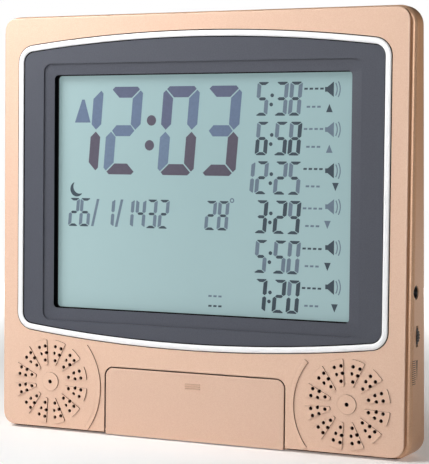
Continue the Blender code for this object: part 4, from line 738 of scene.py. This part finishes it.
# Display holder, connector strip, light guide and main board: plain moulded and rubber
# parts and a green board, stacked behind the panel and seen only with the case open.
moulded_white = mottled("white_plastic", "D6D6D2", "E0E0DC", 0.45)
soft_black = mottled("dark_rubber", "1B1B1D", "242427", 0.75, (700, 2.0), strength=0.35)
board_finish, tree, shader = new_finish("board_lacquer", 0.35, coat=0.4)
tint(tree, shader, grain(tree, 350, 0.0, kind="ShaderNodeTexVoronoi"), srgb("0E4A26"),
     srgb("17683A"), 0.2, 0.7, "Distance")
emboss(tree, shader, grain(tree, 900, 2.0), 0.03 * mm, 0.2)
hard_black = mottled("black_plastic", "141416", "1B1B1E", 0.4, strength=0.2)
steel, tree, shader = new_finish("plated_steel", 0.28, metallic=1.0)
tint(tree, shader, grain(tree, 420, 4.0, (1, 8, 1)), srgb("A9ABAE"), srgb("C6C8CA"))
emboss(tree, shader, grain(tree, 1200, 2.0, (1, 6, 1)), 0.01 * mm, 0.1)


def coat_nodes(finish, *names):
    """Give solids whose shape already stands their finish."""
    for name in names:
        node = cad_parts[name]
        node.data.materials.clear()
        node.data.materials.append(finish)


coat_nodes(moulded_white, "lcd_holder", "light_guide")
coat_nodes(soft_black, "zebra_connector")
coat_nodes(board_finish, "main_board")
coat_nodes(hard_black, "controller_chip")
coat_nodes(steel, "quartz_crystal")

# Speakers: steel baskets on foam gaskets, with black paper cones and ferrite magnets.
# Only a dark glimpse of them shows through the sound holes.
foam = mottled("gasket_foam", "17171A", "2C2C30", 0.95, (1500, 5.0), (2200, 3.0), 0.1 * mm, 0.6)
paper = mottled("cone_paper", "121214", "1F1F22", 0.9, (900, 6.0), (1800, 5.0), 0.06 * mm, 0.5)
for side in ("left", "right"):
    coat_nodes(foam, "speaker_gasket_" + side)
    coat_nodes(steel, "speaker_frame_" + side)
    coat_nodes(paper, "speaker_cone_" + side, "speaker_magnet_" + side)

# Key door: a flat plastic door that drops forward on two pins at its foot. Three short
# raised bars near its top show where to press it, and the tongue behind them latches in
# a white catch.
door_finish = pearly("door_plastic", "E3BCA4", "E9C5AE", 0.42, 0.12, 0.2, 0.3)
# Painted shade: from 0.6 mm deep the door's edges are near black and dull for the shade in the gap
# round it, and its paint comes back at its back face.
shade_below(door_finish, 0.6 * mm, 0.8 * mm, recess_shade, 2 * mm, 0.1 * mm)
door = solid("door_panel", thicken(door_face(0, 0.5 * mm, 0), back=2 * mm, front_round=0.35 * mm,
                                   rounds=3))
tongue = thicken(card(-2.5 * mm, 2.5 * mm, 31.6 * mm, 33.6 * mm, depth=mm), back=5.9 * mm)
shaped(door, (plus, door_bar(door_half, 1.45 * mm)), (plus, door_bar(54.5 * mm, 0.7 * mm)),
       (plus, tongue))
fitted(door, door_finish, body="key_door", nodes=("key_door",))
bars = [thicken(card(-4.5 * mm, 4.5 * mm, z * mm - 0.28 * mm, z * mm + 0.28 * mm, 0.27 * mm, 4,
                     -0.3 * mm), back=0.3 * mm, front_round=0.08 * mm, rounds=2)
        for z in (28.4, 29.6, 30.8)]
press_finish = mottled("press_bars", "D0AA90", "D8B39A", 0.5, (2600, 2.0))
fitted(solid("door_press_bars", together(bars)), press_finish, body="key_door",
       even=False)
coat_nodes(moulded_white, "door_catch")

# Keys: eight rubber keys behind the door, each with a rounded cap over a wide flange and
# a plain sign printed on it in off-white. They lie on a rubber mat over their own board.
sign_finish = mottled("key_print", "C9C9C4", "DADAD6", 0.6, (600, 2.0))
ray_turns = [math.tau * number / 8 for number in range(8)]
key_signs = {
    "key_mode": [[(-1.8, -1), (-0.3, -1), (-0.3, 1), (-1.8, 1)],
                 [(0.3, -1), (1.8, -1), (1.8, 1), (0.3, 1)]],
    "key_set": [arc((0, 0), 1.1, 0, math.tau, 20)[:-1]],
    "key_up": [[(-1.4, -0.9), (1.4, -0.9), (0, 1.2)]],
    "key_down": [[(-1.4, 0.9), (0, -1.2), (1.4, 0.9)]],
    "key_alarm": [[(-1.5, -0.8), (1.5, -0.8), (0.9, 0.2), (0.8, 0.9), (0, 1.3), (-0.8, 0.9),
                   (-0.9, 0.2)]],
    "key_light": [arc((0, 0), 0.7, 0, math.tau, 16)[:-1]]
    + [[(math.cos(turn + half) * reach, math.sin(turn + half) * reach)
        for half, reach in ((-0.14, 1.0), (-0.14, 1.5), (0.14, 1.5), (0.14, 1.0))]
       for turn in ray_turns],
    "key_city": [[(-1.3, 0), (0, -1.3), (1.3, 0), (0, 1.3)]],
    "key_volume": [[(-1.5, -0.5), (-0.8, -0.5), (0.4, -1.2), (0.4, 1.2), (-0.8, 0.5), (-1.5, 0.5)],
                   [(0.9, -0.7), (1.2, -0.7), (1.2, 0.7), (0.9, 0.7)]]}
for name, x, z in key_spots:
    key = solid(name + "_cap", thicken(key_face(x, z, 0, 1.6 * mm, 6, 2.9 * mm), back=key_base,
                                       front_round=0.7 * mm, rounds=4))
    flange = thicken(key_face(x, z, 1 * mm, 1 * mm, 4, 6.5 * mm), back=key_base)
    shaped(key, (plus, flange))
    fitted(key, soft_black, body=name, nodes=(name,))
    signs = [thicken(flat_face([(x + across * mm, z + up * mm) for across, up in outline],
                               2.86 * mm), back=3 * mm) for outline in key_signs[name]]
    fitted(solid(name + "_sign", together(signs)), sign_finish, body=name,
           even=False)
coat_nodes(soft_black, "keypad_mat")
coat_nodes(board_finish, "key_board")

# Power inlet: a black socket with a steel centre pin, held behind a round hole in the
# right side wall.
socket = card(110.6 * mm, 117.5 * mm, 80.1 * mm, 88.3 * mm, 0.4 * mm, 3, 4.2 * mm)
inlet = solid("inlet_socket", thicken(socket, back=11.2 * mm))
shaped(inlet, (plus, side_bar(116.5 * mm, 119.6 * mm, 3.3 * mm, 56)),
       (minus, side_bar(111.6 * mm, 121 * mm, 2.75 * mm, 56)),
       (minus, side_bar(109 * mm, 119 * mm, 1.3 * mm, 20)))
fitted(inlet, hard_black, nodes=("power_inlet",))
pin = side_bar(110.6 * mm, 118.6 * mm, 1 * mm, 32)
tip = [edge for edge in pin.edges if all(vert.co.x > 118 * mm for vert in edge.verts)]
rounded(pin, tip, 0.4 * mm, 4, "EDGES")
fitted(solid("inlet_contact", pin), steel, nodes=("inlet_pin",))

# Volume wheel: a black knurled disc whose edge stands out of its slot, on a control with
# a small board of its own. A graduated wedge is printed on the case beside it.
wheel_radius, knurl, side_wall = 8 * mm, 0.04, 120 * mm
wheel = disc((wheel_x, wheel_height), wheel_radius, 96, 8.7 * mm)
round_wheel = sorted(wheel.verts, key=lambda vert: math.atan2(vert.co.z - wheel_height,
                                                              vert.co.x - wheel_x))
for vert in round_wheel[::3]:
    vert.co.x += (wheel_x - vert.co.x) * knurl
    vert.co.z += (wheel_height - vert.co.z) * knurl
wheel = solid("wheel_disc", thicken(wheel, back=11.3 * mm, front_round=0.25 * mm,
                                    back_round=0.25 * mm, rounds=2))
shaft = bar((wheel_x, 10 * mm, wheel_height), (wheel_x, 13.9 * mm, wheel_height), 1.5 * mm, 24)
shaped(wheel, (plus, shaft))
fitted(wheel, hard_black, body="volume_wheel", nodes=("volume_wheel",))
coat_nodes(board_finish, "volume_board")
coat_nodes(steel, "volume_control")
print_finish, tree, shader = new_finish("side_print", 0.5)
tint(tree, shader, grain(tree, 800, 2.0), srgb("2A2422"), srgb("352D2A"))
ticks = []
for number in range(12):
    tick = bmesh.new()
    bmesh.ops.create_cube(tick, size=1)
    place = Matrix.Translation((side_wall, face + 5.9 * mm, (38.4 + 1.05 * number) * mm))
    ticks.append(moved(tick, place @ Matrix.Diagonal((0.05 * mm, 5 * mm, 0.35 * mm, 1))))
wedge = bmesh.new()
wedge.faces.new([wedge.verts.new((side_wall - 0.02 * mm, face + y * mm, z * mm))
                 for y, z in ((10.6, 39.5), (11.2, 50), (9.2, 50))])
grown = bmesh.ops.extrude_face_region(wedge, geom=wedge.faces[:])
bmesh.ops.translate(wedge, vec=(0.04 * mm, 0, 0),
                    verts=[item for item in grown["geom"] if isinstance(item, bmesh.types.BMVert)])
ticks.append(wedge)
fitted(solid("volume_scale", together(ticks)), print_finish, even=False)

# Battery bay: three cells side by side between steel contact plates, each with a steel
# spring at its flat end. The cells have a printed jacket with a bright band at the raised
# end.
cell_radius, cell_pitch, cell_gap = 5.25 * mm, 11.3 * mm, 0.3 * mm
wire_radius, coil_turns, coil_steps = 0.34 * mm, 4, 96
jacket, tree, shader = new_finish("cell_jacket", 0.3, metallic=0.3, coat=0.5)
bands = grain(tree, 12, kind="ShaderNodeTexWave")
bands.bands_direction = "X"
bands.inputs["Distortion"].default_value = 0.0
tint(tree, shader, bands, srgb("20304A"), srgb("B07A3A"), 0.86, 0.9)
emboss(tree, shader, grain(tree, 900, 2.0), 0.01 * mm, 0.1)
for number in range(3):
    label = str(number + 1)
    coat_nodes(jacket, "battery_cell_" + label)
    coat_nodes(steel, "contact_plate_" + label)
    height = bay_low + cell_gap + cell_radius + cell_pitch * number
    facing = 1 if number % 2 == 0 else -1
    root, tip = -facing * 26.35 * mm, -facing * 19.05 * mm
    wire = bpy.data.curves.new("cell_spring_" + label, "CURVE")
    wire.dimensions = "3D"
    wire.bevel_depth = wire_radius
    wire.bevel_resolution = 3
    wire.use_fill_caps = True
    line = wire.splines.new("POLY")
    line.points.add(coil_steps)
    for step, point in enumerate(line.points):
        share = step / coil_steps
        radius = (3 - 1.4 * share) * mm
        turn = math.tau * coil_turns * share
        point.co = (root + (tip - root) * share, face + 17.1 * mm + radius * math.cos(turn),
                    height + radius * math.sin(turn), 1)
    curve = added("cell_spring_curve", wire)
    coil = added("cell_spring_" + label, carried_out(curve))
    bpy.data.objects.remove(curve, do_unlink=True)
    fitted(coil, steel, nodes=("contact_spring_" + label,), even=False)

# Battery door: a tinted plastic lid flush with the back, hinged on two pins at its lower
# edge, with three grooves for a fingertip.
lid_half, lid_low, lid_high = 29.3 * mm, 3.05 * mm, 39.9 * mm
lid = solid("battery_lid", thicken(card(-lid_half, lid_half, lid_low, lid_high, 0.7 * mm, 4),
                                   rear_inset=0.0, front_inset=1.5 * mm, back_round=0.25 * mm,
                                   rounds=2))
axis = (rear_depth(lid_low) - 0.75 * mm, lid_low + 0.75 * mm)
lid_pin = bar((-30.6 * mm, *axis), (30.6 * mm, *axis), 0.45 * mm, 16)
grooves = together([thicken(card(-8 * mm, 8 * mm, lid_high - (2.2 * groove + 1) * mm,
                                 lid_high - 2.2 * groove * mm, 0.49 * mm, 5),
                            rear_inset=-mm, front_inset=0.6 * mm) for groove in (1, 2, 3)])
shaped(lid, (plus, lid_pin), (minus, grooves))
fitted(lid, rear_finish, body="battery_door", nodes=("battery_door",))

# Feet: two tinted plastic flaps folded flat into the back. Each turns on a barrel and two
# pins at its foot, and swings out behind the clock to steady it.
pivot_height = 2.2 * mm
pivot_depth = rear_depth(pivot_height) - 1.6 * mm
for side, sign in (("left", -1), ("right", 1)):
    middle = sign * foot_offset
    flap = card(middle - foot_half, middle + foot_half, pivot_height, foot_top, 0.8 * mm, 4)
    foot = solid("foot_flap_" + side, thicken(flap, rear_inset=0.2 * mm, front_inset=2.6 * mm,
                                              back_round=0.3 * mm, rounds=3))
    barrel, foot_pins = (bar((middle - reach, pivot_depth, pivot_height),
                             (middle + reach, pivot_depth, pivot_height), radius, steps)
                         for reach, radius, steps in ((foot_half, 1.3 * mm, 24),
                                                      (13.7 * mm, 0.7 * mm, 20)))
    shaped(foot, (plus, barrel), (plus, foot_pins))
    fitted(foot, rear_finish, body="foot_" + side, nodes=("foot_" + side,))

# Case screws: six steel cross-head screws that hold the two halves of the case together,
# sunk in their wells and driven from the rear.
coat_nodes(steel, *["case_screw_%d" % number for number in range(1, 7)])

# Floor, light and camera: a pale floor in a white room, seen at the photograph's angle. The
# main soft light stands at the upper left of the front, with weak ones beside it, warm
# light on the right side, a narrow lamp for the rim's highlight and one behind.
floor = bmesh.new()
bmesh.ops.create_grid(floor, x_segments=1, y_segments=1, size=4)
floor = solid("floor", moved(floor, Matrix.Translation((0, 0, -0.2 * mm))))
floor_finish, tree, shader = new_finish("floor_card", 0.8)
tint(tree, shader, grain(tree, 6, 2.0), srgb("F4F4F4"), srgb("F8F8F8"))
glow = grain(tree, 1, kind="ShaderNodeTexGradient", stretch=(0.5, 0.5, 0.5))
glow.gradient_type = "SPHERICAL"
far_glow, near_glow = (0.95, 0.95, 0.95), (0.18, 0.18, 0.18)
tint(tree, shader, glow, far_glow, near_glow, 0.5, 0.82, socket="Emission Color")
shader.inputs["Emission Strength"].default_value = 1.0
floor.data.materials.append(floor_finish)
world = bpy.data.worlds.new("studio")
world.use_nodes = True
tree = world.node_tree
seen, fill = tree.nodes["Background"], tree.nodes.new("ShaderNodeBackground")
seen.inputs["Color"].default_value = fill.inputs["Color"].default_value = (1, 1, 1, 1)
seen.inputs["Strength"].default_value = 1.0
fill.inputs["Strength"].default_value = 0.03
choice, path = tree.nodes.new("ShaderNodeMixShader"), tree.nodes.new("ShaderNodeLightPath")
tree.links.new(path.outputs["Is Camera Ray"], choice.inputs["Fac"])
tree.links.new(fill.outputs["Background"], choice.inputs[1])
tree.links.new(seen.outputs["Background"], choice.inputs[2])
tree.links.new(choice.outputs["Shader"], tree.nodes["World Output"].inputs["Surface"])
bpy.context.scene.world = world
bpy.context.scene.view_settings.view_transform = "Standard"
clock_middle = Vector((0, 0, 0.11))


def lamp(name, place, wide, tall, power, colour=(1, 1, 1)):
    """Soft light aimed at the middle of the clock."""
    light = bpy.data.lights.new(name, "AREA")
    light.shape = "RECTANGLE"
    light.size, light.size_y, light.energy, light.color = wide, tall, power, colour
    lit = added(name, light)
    lit.location = place
    lit.rotation_euler = (clock_middle - Vector(place)).to_track_quat("-Z", "Y").to_euler()
    return lit


lamp("key_light", (-0.35, -0.35, 0.55), 0.4, 0.4, 4.0)
lamp("left_light", (-0.5, -0.4, 0.35), 0.4, 0.4, 0.6)
lamp("front_light", (-0.1, -1.2, 0.5), 0.6, 0.6, 0.22)
lamp("side_light", (0.8, 0.8, 0.35), 0.6, 0.6, 1.25, (1, 0.6, 0.26))
lamp("edge_light", (0.4, -0.94, 0.3), 0.2, 0.8, 9.0).visible_diffuse = False
lamp("back_light", (-0.4, 1.0, 0.1), 0.5, 0.5, 4.0)
film_height, photo_rows, focal_rows = 36, 464, 1625.484
lens = bpy.data.cameras.new("camera")
lens.sensor_fit = "VERTICAL"
lens.sensor_height = film_height
lens.lens = focal_rows * film_height / photo_rows
yaw, pitch, roll = math.radians(25.374), math.radians(2.534), math.radians(0.564)
aim, distance = Vector((11.974 * mm, face, 111.658 * mm)), 848.263 * mm
forward = Vector((-math.sin(yaw) * math.cos(pitch), math.cos(yaw) * math.cos(pitch),
                  -math.sin(pitch)))
level = Vector((math.cos(yaw), math.sin(yaw), 0))
upright = level.cross(forward)
right = level * math.cos(roll) + upright * math.sin(roll)
upper = upright * math.cos(roll) - level * math.sin(roll)
viewer = added("camera", lens)
viewer.matrix_world = (Matrix.Translation(aim - forward * distance)
                       @ Matrix((right, upper, -forward)).transposed().to_4x4())
bpy.context.scene.camera = viewer
